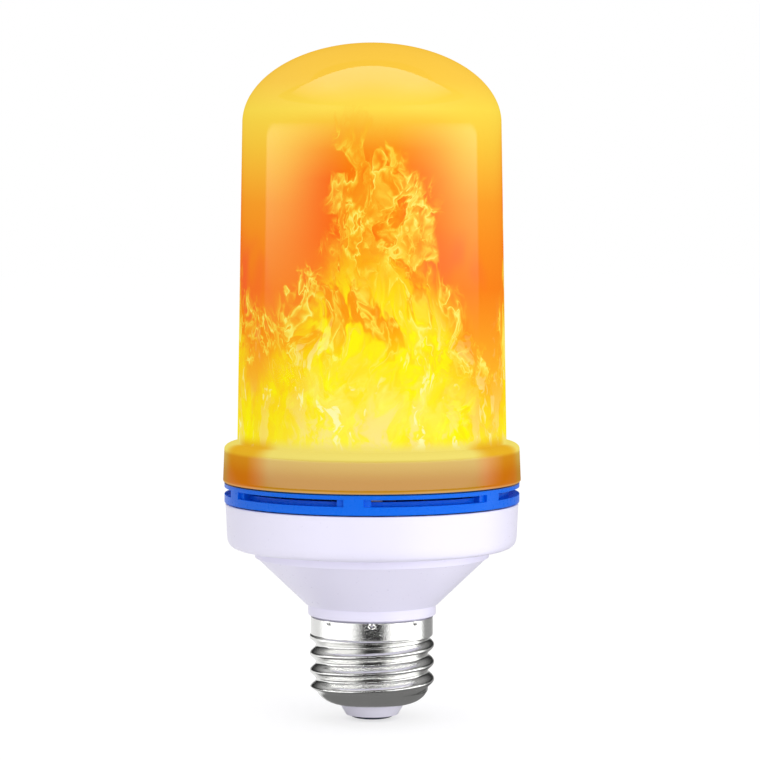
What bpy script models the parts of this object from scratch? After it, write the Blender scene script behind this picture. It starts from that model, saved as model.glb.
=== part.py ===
"""Flame effect LED bulb with an Edison screw cap.

Units are metres and +Z is up. The origin is the middle of the centre contact's
face, so the bulb stands on its cap as it does in a lampholder. The cap, the
housing, the vent ring and the milky cover are separate shells, stacked on each
other with a named clearance, and they hold the driver board and the LED column.
"""

import math

import bmesh
import bpy
from mathutils import Matrix, Vector

# Clearance between pieces that touch on the real bulb
FIT_GAP = 0.0003
MERGE_DISTANCE = 0.00001

# Centre contact and cap insulator
CONTACT_RADIUS = 0.0046
CONTACT_THICKNESS = 0.0007
CONTACT_EDGE = 0.0004
RIVET_RADIUS = 0.0015
RIVET_HEIGHT = 0.0062
INSULATOR_TIP_RADIUS = 0.0052
INSULATOR_TIP_HEIGHT = 0.0023
INSULATOR_FLANGE_INSET = 0.0004
INSULATOR_FLANGE_THICKNESS = 0.0012

# Screw shell: thin sheet with a rounded Edison thread rolled into it
SHELL_SHEET = 0.0003
SHELL_HEIGHT = 0.0185
CAP_HOLE_RADIUS = 0.0073
BOWL_HEIGHT = 0.0036
THREAD_CREST_RADIUS = 0.0132
THREAD_DEPTH = 0.0013
THREAD_PITCH = 0.003629
THREAD_PHASE = 0.0051
THREAD_FADE = 0.0013
RIM_INSET = 0.00027
RIM_HEIGHT = 0.0040
RIM_STEP = 0.0008

# Base housing
HOUSING_WALL = 0.0016
SPIGOT_WALL = 0.0012
SPIGOT_CHAMFER = 0.0004
LEAD_SLOT_WIDTH = 0.0016
LEAD_SLOT_HEIGHT = 0.0060
NECK_STEP = 0.00061
NECK_HEIGHT = 0.0023
NECK_CHAMFER = 0.0003
CONE_STEP = 0.00046
CONE_HEIGHT = 0.0100
LIP_STEP = 0.00035
LIP_HEIGHT = 0.0020
LIP_INSET = 0.0057
DRUM_RADIUS = 0.03095
DRUM_DRAFT = 0.00045
DRUM_HEIGHT = 0.0095
DRUM_CORNER = 0.0024
POST_COUNT = 3
POST_INSET = 0.0055
POST_RADIUS = 0.0022
FIRST_POST_ANGLE = math.radians(30)

# Vent ring
RING_STEP = 0.0002
RING_HEIGHT = 0.0040
RING_WIDTH = 0.0033
RING_SPIGOT_DEPTH = 0.0024
RING_SPIGOT_WALL = 0.0012
RING_RIM_HEIGHT = 0.0015
RING_RIM_WALL = 0.0010
SLOT_COUNT = 6
SLOT_FLOOR = 0.0017
SLOT_HEIGHT = 0.00145
SLOT_DEPTH = 0.0023
RECESS_DEPTH = 0.0007
VENT_HEIGHT = 0.0006
WEB_ANGLE = math.radians(7.6)
PILLAR_ANGLE = math.radians(13.2)
FIRST_WEB_ANGLE = math.radians(-96.8)

# Milky cover: collar, tube and dome in one moulding
DIFFUSER_WALL = 0.0014
COLLAR_STEP = 0.0003
COLLAR_DRAFT = 0.0003
COLLAR_HEIGHT = 0.0082
COLLAR_CORNER_WIDTH = 0.0023
COLLAR_CORNER_HEIGHT = 0.0013
COLLAR_SHELF = 0.00275
TUBE_DRAFT = 0.0012
TUBE_HEIGHT = 0.0671
DOME_HEIGHT = 0.0168

# LED column: moulded core, wrapped LED strip and LED disc on top
COLUMN_RADIUS = 0.0160
COLUMN_WALL = 0.0014
COLUMN_DROP = 0.0057
FLANGE_THICKNESS = 0.0016
TOP_PLATE_THICKNESS = 0.0016
BOSS_WALL = 0.0012
BOSS_HEIGHT = 0.0050
STRIP_THICKNESS = 0.0004
STRIP_MARGIN = 0.0029
STRIP_SEAM = 0.0008
SEAM_COLUMN = 2.5
LED_COLUMNS = 12
LED_ROWS = 8
LED_WIDTH = 0.0028
LED_LENGTH = 0.0035
LED_THICKNESS = 0.0008
LED_CORNER = 0.0003
TOP_BOARD_INSET = 0.0010
TOP_BOARD_THICKNESS = 0.0010
TOP_LED_COUNT = 6
TOP_LED_INSET = 0.0055

# Screws
SCREW_SHANK_RADIUS = 0.00115
SCREW_HEAD_RADIUS = 0.0021
SCREW_HEAD_HEIGHT = 0.0015
SCREW_RECESS_LENGTH = 0.0022
SCREW_RECESS_WIDTH = 0.0005
SCREW_RECESS_DEPTH = 0.0007
COLUMN_SCREW_LENGTH = 0.0080
TOP_SCREW_LENGTH = 0.0055

# Driver board and what is soldered to it
BOARD_THICKNESS = 0.0016
BULK_CAPACITOR_RADIUS = 0.0040
BULK_CAPACITOR_HEIGHT = 0.0115
OUTPUT_CAPACITOR_RADIUS = 0.00315
OUTPUT_CAPACITOR_HEIGHT = 0.0077
OUTPUT_CAPACITOR_PLACE = (-0.0075, 0.0065)
CAPACITOR_GROOVE = 0.0004
CHOKE_RADIUS = 0.0040
CHOKE_HEIGHT = 0.0075
CHOKE_NECK_RADIUS = 0.0018
CHOKE_FLANGE = 0.0010
CHOKE_PLACE = (0.0075, 0.0063)
FILM_CAPACITOR_SIZE = (0.0100, 0.0045, 0.0080)
FILM_CAPACITOR_PLACE = (0.0, -0.0085)
FILM_CAPACITOR_EDGE = 0.0006
CHIP_EDGE = 0.0002
BRIDGE_SIZE = (0.0047, 0.0038, 0.0014)
BRIDGE_ANGLE = math.radians(-34.5)
DRIVER_CHIP_SIZE = (0.0049, 0.0039, 0.0015)
DRIVER_CHIP_ANGLE = math.radians(221)
CONTROLLER_SIZE = (0.0099, 0.0039, 0.0015)
CONTROLLER_PLACE = (0.0, 0.0165)
CHIP_INSET = 0.0085
LEG_PITCH = 0.00127
LEG_WIDTH = 0.0004
LEG_REACH = 0.0009
LEG_HEIGHT = 0.0007
TILT_SWITCH_RADIUS = 0.0024
TILT_SWITCH_HEIGHT = 0.0065
TILT_SWITCH_PLACE = (-0.0105, -0.0035)
CHIP_RESISTOR_SIZE = (0.0032, 0.0016, 0.0006)
CHIP_RESISTOR_EDGE = 0.0001
CHIP_RESISTOR_COUNT = 4
CHIP_RESISTOR_INSET = 0.0087
FIRST_CHIP_RESISTOR_ANGLE = math.radians(-10)
CHIP_RESISTOR_STEP = math.radians(11)

# Fuse resistor in the cap, and the wires
FUSE_RADIUS = 0.0017
FUSE_LENGTH = 0.0095
FUSE_LEAD_RADIUS = 0.0004
FUSE_LEAD_LENGTH = 0.0045
SLEEVE_WALL = 0.0004
SLEEVE_OVERLAP = 0.0015
SHELL_LEAD_RADIUS = 0.0004
SHELL_LEAD_INSET = 0.0005
WIRE_RADIUS = 0.0006
WIRE_SPACING = 0.0015
STRIP_WIRE_ANGLE = math.radians(202.5)
STRIP_WIRE_HOLE_RADIUS = 0.0017
TOP_WIRE_INSET = 0.0056
TOP_WIRE_HOLE_RADIUS = 0.0018
TOP_WIRE_BOW = 0.0012

# Facets round the turned pieces
FINE_SEGMENTS = 40
CAP_SEGMENTS = 28
COLUMN_SEGMENTS = 2 * LED_COLUMNS
SMALL_SEGMENTS = 14
SCREW_SEGMENTS = 10
THREAD_ROWS_PER_PITCH = 6
DOME_STEPS = 8

# Heights of the stack, from the contact's face upwards
INSULATOR_Z = CONTACT_THICKNESS + FIT_GAP
SHELL_Z = INSULATOR_Z + INSULATOR_TIP_HEIGHT
BOWL_TOP_Z = SHELL_Z + BOWL_HEIGHT
NECK_Z = SHELL_Z + SHELL_HEIGHT + FIT_GAP
CONE_Z = NECK_Z + NECK_HEIGHT
LIP_Z = CONE_Z + CONE_HEIGHT
DRUM_Z = LIP_Z + LIP_HEIGHT
FLOOR_Z = DRUM_Z + HOUSING_WALL
DRUM_TOP_Z = DRUM_Z + DRUM_HEIGHT
RING_Z = DRUM_TOP_Z + FIT_GAP
RING_TOP_Z = RING_Z + RING_HEIGHT
COLLAR_Z = RING_TOP_Z + FIT_GAP
TUBE_Z = COLLAR_Z + COLLAR_HEIGHT
DOME_Z = TUBE_Z + TUBE_HEIGHT
FLANGE_Z = RING_TOP_Z + FIT_GAP
FLANGE_TOP_Z = FLANGE_Z + FLANGE_THICKNESS
COLUMN_TOP_Z = DOME_Z - COLUMN_DROP
STRIP_Z = FLANGE_TOP_Z + FIT_GAP
STRIP_TOP_Z = COLUMN_TOP_Z - STRIP_MARGIN
LED_ROW_PITCH = (STRIP_TOP_Z - STRIP_Z) / LED_ROWS
TOP_BOARD_Z = COLUMN_TOP_Z + FIT_GAP
TOP_BOARD_TOP_Z = TOP_BOARD_Z + TOP_BOARD_THICKNESS
BOARD_Z = FLOOR_Z + FIT_GAP
BOARD_TOP_Z = BOARD_Z + BOARD_THICKNESS

# Radii that follow from the pieces around them
THREAD_ROOT_RADIUS = THREAD_CREST_RADIUS - THREAD_DEPTH
RIM_RADIUS = THREAD_CREST_RADIUS - RIM_INSET
NECK_RADIUS = RIM_RADIUS + NECK_STEP
CONE_FOOT_RADIUS = NECK_RADIUS + CONE_STEP
DRUM_FOOT_RADIUS = DRUM_RADIUS - DRUM_DRAFT
LIP_RADIUS = DRUM_FOOT_RADIUS - LIP_INSET
CONE_TOP_RADIUS = LIP_RADIUS - LIP_STEP
POST_CIRCLE = DRUM_FOOT_RADIUS - POST_INSET
RING_RADIUS = DRUM_RADIUS + RING_STEP
COLLAR_FOOT_RADIUS = RING_RADIUS + COLLAR_STEP
COLLAR_RADIUS = COLLAR_FOOT_RADIUS - COLLAR_DRAFT
TUBE_FOOT_RADIUS = COLLAR_RADIUS - COLLAR_SHELF
TUBE_TOP_RADIUS = TUBE_FOOT_RADIUS - TUBE_DRAFT
BOWL_WIDTH = THREAD_ROOT_RADIUS - CAP_HOLE_RADIUS
BACKING = SHELL_SHEET + FIT_GAP
SPIGOT_RADIUS = THREAD_ROOT_RADIUS - BACKING
SPIGOT_BORE = SPIGOT_RADIUS - SPIGOT_WALL
BAND_RADIUS = RIM_RADIUS - BACKING
INSULATOR_FLANGE_RADIUS = SPIGOT_BORE - INSULATOR_FLANGE_INSET
RING_BORE = RING_RADIUS - RING_WIDTH
RING_RIM_RADIUS = COLLAR_RADIUS - DIFFUSER_WALL - FIT_GAP
RING_RIM_BORE = RING_RIM_RADIUS - RING_RIM_WALL
FLANGE_RADIUS = RING_RIM_BORE - FIT_GAP
COLUMN_BORE = COLUMN_RADIUS - COLUMN_WALL
STRIP_BORE = COLUMN_RADIUS + FIT_GAP
STRIP_RADIUS = STRIP_BORE + STRIP_THICKNESS
TOP_BOARD_RADIUS = COLUMN_RADIUS - TOP_BOARD_INSET
TOP_LED_CIRCLE = TOP_BOARD_RADIUS - TOP_LED_INSET
TOP_WIRE_CIRCLE = COLUMN_BORE - TOP_WIRE_INSET
SCREW_HOLE_RADIUS = SCREW_SHANK_RADIUS + FIT_GAP

PALETTE = {
    "milky_cover": ((253, 176, 60), 0.25, 0.0),
    "blue_plastic": ((22, 118, 245), 0.25, 0.0),
    "white_plastic": ((236, 233, 250), 0.30, 0.0),
    "nickel_plate": ((205, 205, 202), 0.15, 1.0),
    "insulator_plastic": ((224, 221, 242), 0.35, 0.0),
    "contact_metal": ((96, 100, 116), 0.35, 1.0),
    "core_plastic": ((228, 228, 224), 0.55, 0.0),
    "strip_film": ((246, 244, 236), 0.50, 0.0),
    "led_package": ((250, 214, 92), 0.35, 0.0),
    "aluminium_board": ((214, 217, 220), 0.45, 0.6),
    "driver_laminate": ((34, 92, 58), 0.45, 0.0),
    "capacitor_sleeve": ((28, 30, 38), 0.35, 0.0),
    "ferrite": ((54, 54, 56), 0.70, 0.0),
    "copper_winding": ((178, 98, 48), 0.35, 1.0),
    "film_capacitor_case": ((198, 148, 40), 0.40, 0.0),
    "chip_resin": ((26, 26, 28), 0.55, 0.0),
    "switch_can": ((186, 188, 190), 0.30, 1.0),
    "resistor_ceramic": ((126, 170, 176), 0.45, 0.0),
    "sleeve_rubber": ((40, 40, 42), 0.70, 0.0),
    "screw_steel": ((150, 152, 156), 0.35, 1.0),
    "red_insulation": ((186, 26, 24), 0.45, 0.0),
    "black_insulation": ((24, 24, 26), 0.45, 0.0),
    "tinned_copper": ((190, 186, 178), 0.30, 1.0),
}


def clear_scene():
    for thing in list(bpy.data.objects):
        bpy.data.objects.remove(thing, do_unlink=True)


def new_collection(name):
    collection = bpy.data.collections.new(name)
    bpy.context.scene.collection.children.link(collection)
    return collection


def linear(channel):
    """Scene-linear value of one 0 to 255 sRGB channel."""
    value = channel / 255
    if value <= 0.04045:
        return value / 12.92
    return ((value + 0.055) / 1.055) ** 2.4


def paint_of(name):
    """The material of that name, made from the palette the first time it is used."""
    material = bpy.data.materials.get(name)
    if material:
        return material
    colour, roughness, metallic = PALETTE[name]
    material = bpy.data.materials.new(name)
    material.use_nodes = True
    shader = material.node_tree.nodes["Principled BSDF"]
    shader.inputs["Base Color"].default_value = (*map(linear, colour), 1.0)
    shader.inputs["Roughness"].default_value = roughness
    shader.inputs["Metallic"].default_value = metallic
    return material


def add_part(name, mesh, paint, place=(0.0, 0.0, 0.0)):
    """Put a piece of the bulb in the bulb's collection."""
    part = bpy.data.objects.new(name, mesh)
    part.location = place
    bpy.data.collections["flame_effect_bulb"].objects.link(part)
    if not mesh.materials:
        mesh.materials.append(paint_of(paint))
    return part


def add_tool(name, mesh):
    """Put a cutter or a shape to fuse in the collection that isn't part of the bulb."""
    tool = bpy.data.objects.new(name, mesh)
    tool.hide_render = True
    tool.display_type = "WIRE"
    bpy.data.collections["cutters"].objects.link(tool)
    return tool


def mesh_of(name, build):
    """A mesh of the closed shapes that the function adds to an empty bmesh."""
    work = bmesh.new()
    build(work)
    bmesh.ops.recalc_face_normals(work, faces=work.faces)
    mesh = bpy.data.meshes.new(name)
    work.to_mesh(mesh)
    work.free()
    return mesh


def block(work, centre, size, turn=0.0):
    """Add a box, turned about the Z axis after it is placed."""
    matrix = Matrix.Rotation(turn, 4, "Z") @ Matrix.Translation(centre) @ Matrix.Diagonal((*size, 1.0))
    bmesh.ops.create_cube(work, size=1.0, matrix=matrix)


def rod(work, centre, radius, length, segments=SMALL_SEGMENTS):
    """Add an upright cylinder."""
    bmesh.ops.create_cone(
        work,
        cap_ends=True,
        segments=segments,
        radius1=radius,
        radius2=radius,
        depth=length,
        matrix=Matrix.Translation(centre),
    )


def sector(work, outline, start, sweep, steps):
    """Add an outline of (radius, height) points swept part of the way round the Z axis."""
    turn = Matrix.Rotation(start, 4, "Z")
    corners = [work.verts.new(turn @ Vector((radius, 0.0, height))) for radius, height in outline]
    face = work.faces.new(corners)
    bmesh.ops.spin(
        work,
        geom=[face, *face.edges, *face.verts],
        cent=(0.0, 0.0, 0.0),
        axis=(0.0, 0.0, 1.0),
        angle=sweep,
        steps=steps,
        use_merge=False,
    )


def arc(centre, radii, start, end, steps):
    """Points along an ellipse in the profile plane, between two angles in degrees."""
    points = []
    for step in range(steps + 1):
        angle = math.radians(start + (end - start) * step / steps)
        points.append((centre[0] + radii[0] * math.cos(angle), centre[1] + radii[1] * math.sin(angle)))
    return points


def round_places(count, radius, first=0.0):
    """Evenly spaced (x, y, angle) round the axis."""
    angles = [first + 2 * math.pi * index / count for index in range(count)]
    return [(radius * math.cos(angle), radius * math.sin(angle), angle) for angle in angles]


def profile_mesh(name, profile, closed):
    mesh = bpy.data.meshes.new(name)
    edges = [(index, index + 1) for index in range(len(profile) - 1)]
    if closed:
        edges.append((len(profile) - 1, 0))
    mesh.from_pydata([(radius, 0.0, height) for radius, height in profile], edges, [])
    return mesh


def turn_profile(part, segments):
    screw = part.modifiers.new("turned", "SCREW")
    screw.axis = "Z"
    screw.angle = 2 * math.pi
    screw.steps = segments
    screw.render_steps = segments
    screw.use_merge_vertices = True
    screw.merge_threshold = MERGE_DISTANCE
    screw.use_smooth_shade = True


def turned(name, profile, segments, paint, closed=False, place=(0.0, 0.0, 0.0)):
    """Turn a profile about the Z axis: it runs down the outer side and back up the bore.

    A solid's profile starts and ends on the axis, and a ring's is closed.
    """
    part = add_part(name, profile_mesh(name, profile, closed), paint, place)
    turn_profile(part, segments)
    return part


def combine(part, tool, operation):
    boolean = part.modifiers.new(tool.name, "BOOLEAN")
    boolean.operation = operation
    boolean.solver = "EXACT"
    boolean.object = tool


def soften(part, width, segments=1):
    bevel = part.modifiers.new("edges", "BEVEL")
    bevel.width = width
    bevel.segments = segments
    bevel.limit_method = "ANGLE"


def evaluated_mesh(part):
    """The part's mesh with its modifiers applied."""
    depsgraph = bpy.context.evaluated_depsgraph_get()
    return bpy.data.meshes.new_from_object(part.evaluated_get(depsgraph))


def centre_contact():
    rivet_top = CONTACT_THICKNESS + RIVET_HEIGHT
    edge = arc(
        (CONTACT_RADIUS - CONTACT_EDGE, CONTACT_EDGE), (CONTACT_EDGE, CONTACT_EDGE), 0, -90, 3
    )
    profile = [
        (0.0, rivet_top),
        (RIVET_RADIUS, rivet_top),
        (RIVET_RADIUS, CONTACT_THICKNESS),
        (CONTACT_RADIUS, CONTACT_THICKNESS),
        *edge,
        (0.0, 0.0),
    ]
    turned("centre_contact", profile, CAP_SEGMENTS, "contact_metal")


def insulator_seat(radius_angle, clearance):
    """A point at a clearance inside the bowl of the shell, at an angle from its hole."""
    return (
        CAP_HOLE_RADIUS + (BOWL_WIDTH - clearance) * math.sin(radius_angle),
        BOWL_TOP_Z - (BOWL_HEIGHT - clearance) * math.cos(radius_angle),
    )


def insulator_seat_points():
    """The flange's underside, which follows the bowl of the shell from the rim inwards."""
    outer = math.asin((INSULATOR_FLANGE_RADIUS - CAP_HOLE_RADIUS) / (BOWL_WIDTH - BACKING))
    return [insulator_seat(outer * share, BACKING) for share in (1.0, 0.5, 0.0)]


def insulator_top():
    return insulator_seat_points()[0][1] + INSULATOR_FLANGE_THICKNESS


def cap_insulator():
    bore = RIVET_RADIUS + FIT_GAP
    neck = CAP_HOLE_RADIUS - FIT_GAP
    seat = insulator_seat_points()
    profile = [
        (bore, insulator_top()),
        (INSULATOR_FLANGE_RADIUS, insulator_top()),
        *seat,
        (neck, seat[-1][1]),
        (neck, SHELL_Z),
        (INSULATOR_TIP_RADIUS, INSULATOR_Z),
        (bore, INSULATOR_Z),
    ]
    turned("cap_insulator", profile, CAP_SEGMENTS, "insulator_plastic", closed=True)


def thread_bulge(angle, height):
    """How far out of the root cylinder the thread stands, from 0 at its root to 1 at its crest."""
    crest = SHELL_Z + THREAD_PHASE + THREAD_PITCH * angle / (2 * math.pi)
    wave = 0.5 + 0.5 * math.cos(2 * math.pi * (height - crest) / THREAD_PITCH)
    rise = (height - (BOWL_TOP_Z - THREAD_FADE)) / THREAD_FADE
    return wave * min(max(rise, 0.0), 1.0)


def shell_profile():
    """Smooth outline of the shell without its thread, from the rim down to the cap's hole."""
    shell_top = SHELL_Z + SHELL_HEIGHT
    rim_foot = shell_top - RIM_HEIGHT
    thread_top = rim_foot - RIM_STEP
    rows = round((thread_top - BOWL_TOP_Z) / THREAD_PITCH * THREAD_ROWS_PER_PITCH)
    straight = [
        (THREAD_ROOT_RADIUS, thread_top + (BOWL_TOP_Z - thread_top) * row / rows) for row in range(rows)
    ]
    bowl = arc((CAP_HOLE_RADIUS, BOWL_TOP_Z), (BOWL_WIDTH, BOWL_HEIGHT), 0, -90, 6)
    middle = ((THREAD_ROOT_RADIUS + RIM_RADIUS) / 2, (rim_foot + thread_top) / 2)
    return [(RIM_RADIUS, shell_top), (RIM_RADIUS, rim_foot), middle, *straight, *bowl]


def screw_shell():
    """The turned sheet, its thread pushed out vertex by vertex, then given its thickness."""
    guide = add_tool("screw_shell_blank", profile_mesh("screw_shell_blank", shell_profile(), False))
    turn_profile(guide, CAP_SEGMENTS)
    bpy.context.view_layer.update()
    mesh = evaluated_mesh(guide)
    for vertex in mesh.vertices:
        x, y, height = vertex.co
        radius = math.hypot(x, y)
        bulge = thread_bulge(math.atan2(y, x), height)
        swollen = radius + (THREAD_CREST_RADIUS - THREAD_ROOT_RADIUS) * bulge
        limit = max(radius, THREAD_CREST_RADIUS)
        scale = min(swollen, limit) / radius
        vertex.co = (x * scale, y * scale, height)
    bpy.data.objects.remove(guide, do_unlink=True)
    shell = add_part("screw_shell", mesh, "nickel_plate")
    wall = shell.modifiers.new("sheet", "SOLIDIFY")
    wall.thickness = SHELL_SHEET
    wall.offset = -1.0
    wall.use_even_offset = True


def drum_bore(height):
    """Radius of the drum's inner wall, which follows the draft of its outside."""
    share = (height - DRUM_Z) / DRUM_HEIGHT
    return DRUM_FOOT_RADIUS + (DRUM_RADIUS - DRUM_FOOT_RADIUS) * share - HOUSING_WALL


def board_radius():
    return drum_bore(FLOOR_Z) - FIT_GAP


def housing_profile():
    slope = (CONE_TOP_RADIUS - CONE_FOOT_RADIUS) / CONE_HEIGHT
    wall_across = HOUSING_WALL * math.sqrt(1 + slope**2)
    lip_bore = LIP_RADIUS - HOUSING_WALL
    cone_bore_z = CONE_Z + (SPIGOT_BORE + wall_across - CONE_FOOT_RADIUS) / slope
    lip_bore_z = CONE_Z + (lip_bore + wall_across - CONE_FOOT_RADIUS) / slope
    spigot_foot = insulator_top() + FIT_GAP
    band_foot = SHELL_Z + SHELL_HEIGHT - RIM_HEIGHT + FIT_GAP
    corner = arc(
        (DRUM_FOOT_RADIUS - DRUM_CORNER, DRUM_Z + DRUM_CORNER), (DRUM_CORNER, DRUM_CORNER), 0, -90, 4
    )
    outside = [
        (DRUM_RADIUS, DRUM_TOP_Z),
        *corner,
        (LIP_RADIUS, DRUM_Z),
        (LIP_RADIUS, LIP_Z),
        (CONE_TOP_RADIUS, LIP_Z),
        (CONE_FOOT_RADIUS, CONE_Z),
        (NECK_RADIUS, CONE_Z),
        (NECK_RADIUS, NECK_Z + NECK_CHAMFER),
        (NECK_RADIUS - NECK_CHAMFER, NECK_Z),
        (BAND_RADIUS, NECK_Z),
        (BAND_RADIUS, band_foot),
        (SPIGOT_RADIUS, band_foot),
        (SPIGOT_RADIUS, spigot_foot + 2 * SPIGOT_CHAMFER),
        (SPIGOT_RADIUS - SPIGOT_CHAMFER, spigot_foot),
    ]
    inside = [
        (SPIGOT_BORE, spigot_foot),
        (SPIGOT_BORE, cone_bore_z),
        (lip_bore, lip_bore_z),
        (lip_bore, FLOOR_Z),
        (drum_bore(FLOOR_Z), FLOOR_Z),
        (drum_bore(DRUM_TOP_Z), DRUM_TOP_Z),
    ]
    return outside + inside


def base_housing():
    """The white moulding: spigot for the shell, neck, cone, drum and three screw posts."""
    housing = turned("base_housing", housing_profile(), FINE_SEGMENTS, "white_plastic", closed=True)
    post_foot = FLOOR_Z - HOUSING_WALL / 2
    post_top = FLANGE_Z - FIT_GAP
    places = round_places(POST_COUNT, POST_CIRCLE, FIRST_POST_ANGLE)
    hole_depth = COLUMN_SCREW_LENGTH
    spigot_foot = insulator_top() + FIT_GAP

    def posts(work):
        for x, y, _ in places:
            rod(work, (x, y, (post_foot + post_top) / 2), POST_RADIUS, post_top - post_foot)

    def cuts(work):
        for x, y, _ in places:
            rod(work, (x, y, post_top), SCREW_HOLE_RADIUS, 2 * hole_depth)
        slot_top = spigot_foot + LEAD_SLOT_HEIGHT
        slot_foot = spigot_foot - SPIGOT_WALL
        block(
            work,
            (-(SPIGOT_BORE + SPIGOT_RADIUS) / 2, 0.0, (slot_top + slot_foot) / 2),
            (4 * SPIGOT_WALL, LEAD_SLOT_WIDTH, slot_top - slot_foot),
        )

    combine(housing, add_tool("housing_posts", mesh_of("housing_posts", posts)), "UNION")
    combine(housing, add_tool("housing_cuts", mesh_of("housing_cuts", cuts)), "DIFFERENCE")


def vent_ring():
    """The blue ring: spigot down into the drum, rim up into the collar, six slots round it."""
    spigot_foot = RING_Z - RING_SPIGOT_DEPTH
    rim_top = RING_TOP_Z + RING_RIM_HEIGHT
    spigot_bore = drum_bore(spigot_foot) - FIT_GAP - RING_SPIGOT_WALL
    profile = [
        (RING_RADIUS, RING_TOP_Z),
        (RING_RADIUS, RING_Z),
        (drum_bore(DRUM_TOP_Z) - FIT_GAP, RING_Z),
        (drum_bore(spigot_foot) - FIT_GAP, spigot_foot),
        (spigot_bore, spigot_foot),
        (spigot_bore, RING_Z),
        (RING_BORE, RING_Z),
        (RING_BORE, RING_TOP_Z),
        (RING_RIM_BORE, RING_TOP_Z),
        (RING_RIM_BORE, rim_top),
        (RING_RIM_RADIUS, rim_top),
        (RING_RIM_RADIUS, RING_TOP_Z),
    ]
    ring = turned("vent_ring", profile, FINE_SEGMENTS, "blue_plastic", closed=True)
    slot_foot = RING_Z + SLOT_FLOOR
    slot_top = slot_foot + SLOT_HEIGHT
    beyond = RING_RADIUS + SLOT_DEPTH
    pocket = [
        (beyond, slot_foot),
        (beyond, slot_top),
        (RING_BORE - SLOT_DEPTH, slot_top),
        (RING_BORE - SLOT_DEPTH, slot_top - VENT_HEIGHT),
        (RING_RADIUS - SLOT_DEPTH, slot_top - VENT_HEIGHT),
        (RING_RADIUS - SLOT_DEPTH, slot_foot),
    ]
    recess = [
        (beyond, slot_foot),
        (beyond, slot_top),
        (RING_RADIUS - RECESS_DEPTH, slot_top),
        (RING_RADIUS - RECESS_DEPTH, slot_foot),
    ]

    def slots(outline, solid_angle):
        def build(work):
            for _, _, web in round_places(SLOT_COUNT, RING_RADIUS, FIRST_WEB_ANGLE):
                sweep = 2 * math.pi / SLOT_COUNT - solid_angle
                sector(work, outline, web + solid_angle / 2, sweep, FINE_SEGMENTS // SLOT_COUNT)

        return build

    for name, outline, solid_angle in (
        ("ring_pockets", pocket, PILLAR_ANGLE),
        ("ring_recesses", recess, WEB_ANGLE),
    ):
        combine(ring, add_tool(name, mesh_of(name, slots(outline, solid_angle))), "DIFFERENCE")


def diffuser():
    """The milky cover: outside from the dome down to the collar's foot, then back up inside."""
    shoulder = TUBE_Z - COLLAR_CORNER_HEIGHT
    corner_middle = (COLLAR_RADIUS - COLLAR_CORNER_WIDTH, shoulder)
    corner = arc(corner_middle, (COLLAR_CORNER_WIDTH, COLLAR_CORNER_HEIGHT), 90, 0, 4)
    outside = [
        *arc((0.0, DOME_Z), (TUBE_TOP_RADIUS, DOME_HEIGHT), 90, 0, DOME_STEPS),
        (TUBE_FOOT_RADIUS, TUBE_Z),
        *corner,
        (COLLAR_FOOT_RADIUS, COLLAR_Z),
    ]
    inner_dome = arc(
        (0.0, DOME_Z), (TUBE_TOP_RADIUS - DIFFUSER_WALL, DOME_HEIGHT - DIFFUSER_WALL), 0, 90, DOME_STEPS
    )
    inside = [
        (COLLAR_FOOT_RADIUS - DIFFUSER_WALL, COLLAR_Z),
        (COLLAR_RADIUS - DIFFUSER_WALL, shoulder - DIFFUSER_WALL),
        (COLLAR_RADIUS - COLLAR_CORNER_WIDTH, TUBE_Z - DIFFUSER_WALL),
        (TUBE_FOOT_RADIUS - DIFFUSER_WALL, TUBE_Z - DIFFUSER_WALL),
        *inner_dome,
    ]
    outside[0] = (0.0, outside[0][1])
    inside[-1] = (0.0, inside[-1][1])
    turned("diffuser", outside + inside, FINE_SEGMENTS, "milky_cover")


def column_core():
    """One moulding: flange on the ring and posts, tube for the LED strip, plate and boss on top."""
    bore = SCREW_HOLE_RADIUS
    plate_foot = COLUMN_TOP_Z - TOP_PLATE_THICKNESS
    boss_foot = plate_foot - BOSS_HEIGHT
    profile = [
        (bore, COLUMN_TOP_Z),
        (COLUMN_RADIUS, COLUMN_TOP_Z),
        (COLUMN_RADIUS, FLANGE_TOP_Z),
        (FLANGE_RADIUS, FLANGE_TOP_Z),
        (FLANGE_RADIUS, FLANGE_Z),
        (COLUMN_BORE, FLANGE_Z),
        (COLUMN_BORE, plate_foot),
        (bore + BOSS_WALL, plate_foot),
        (bore + BOSS_WALL, boss_foot),
        (bore, boss_foot),
    ]
    core = turned("column_core", profile, COLUMN_SEGMENTS, "core_plastic", closed=True)

    def holes(work):
        flange_middle = FLANGE_Z + FLANGE_THICKNESS / 2
        for x, y, _ in round_places(POST_COUNT, POST_CIRCLE, FIRST_POST_ANGLE):
            rod(work, (x, y, flange_middle), SCREW_HOLE_RADIUS, 2 * FLANGE_THICKNESS)
        x, y, _ = round_places(1, strip_wire_circle(), STRIP_WIRE_ANGLE)[0]
        rod(work, (x, y, flange_middle), STRIP_WIRE_HOLE_RADIUS, 2 * FLANGE_THICKNESS)
        plate_middle = COLUMN_TOP_Z - TOP_PLATE_THICKNESS / 2
        rod(work, (TOP_WIRE_CIRCLE, 0.0, plate_middle), TOP_WIRE_HOLE_RADIUS, 2 * TOP_PLATE_THICKNESS)

    combine(core, add_tool("core_holes", mesh_of("core_holes", holes)), "DIFFERENCE")


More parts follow.
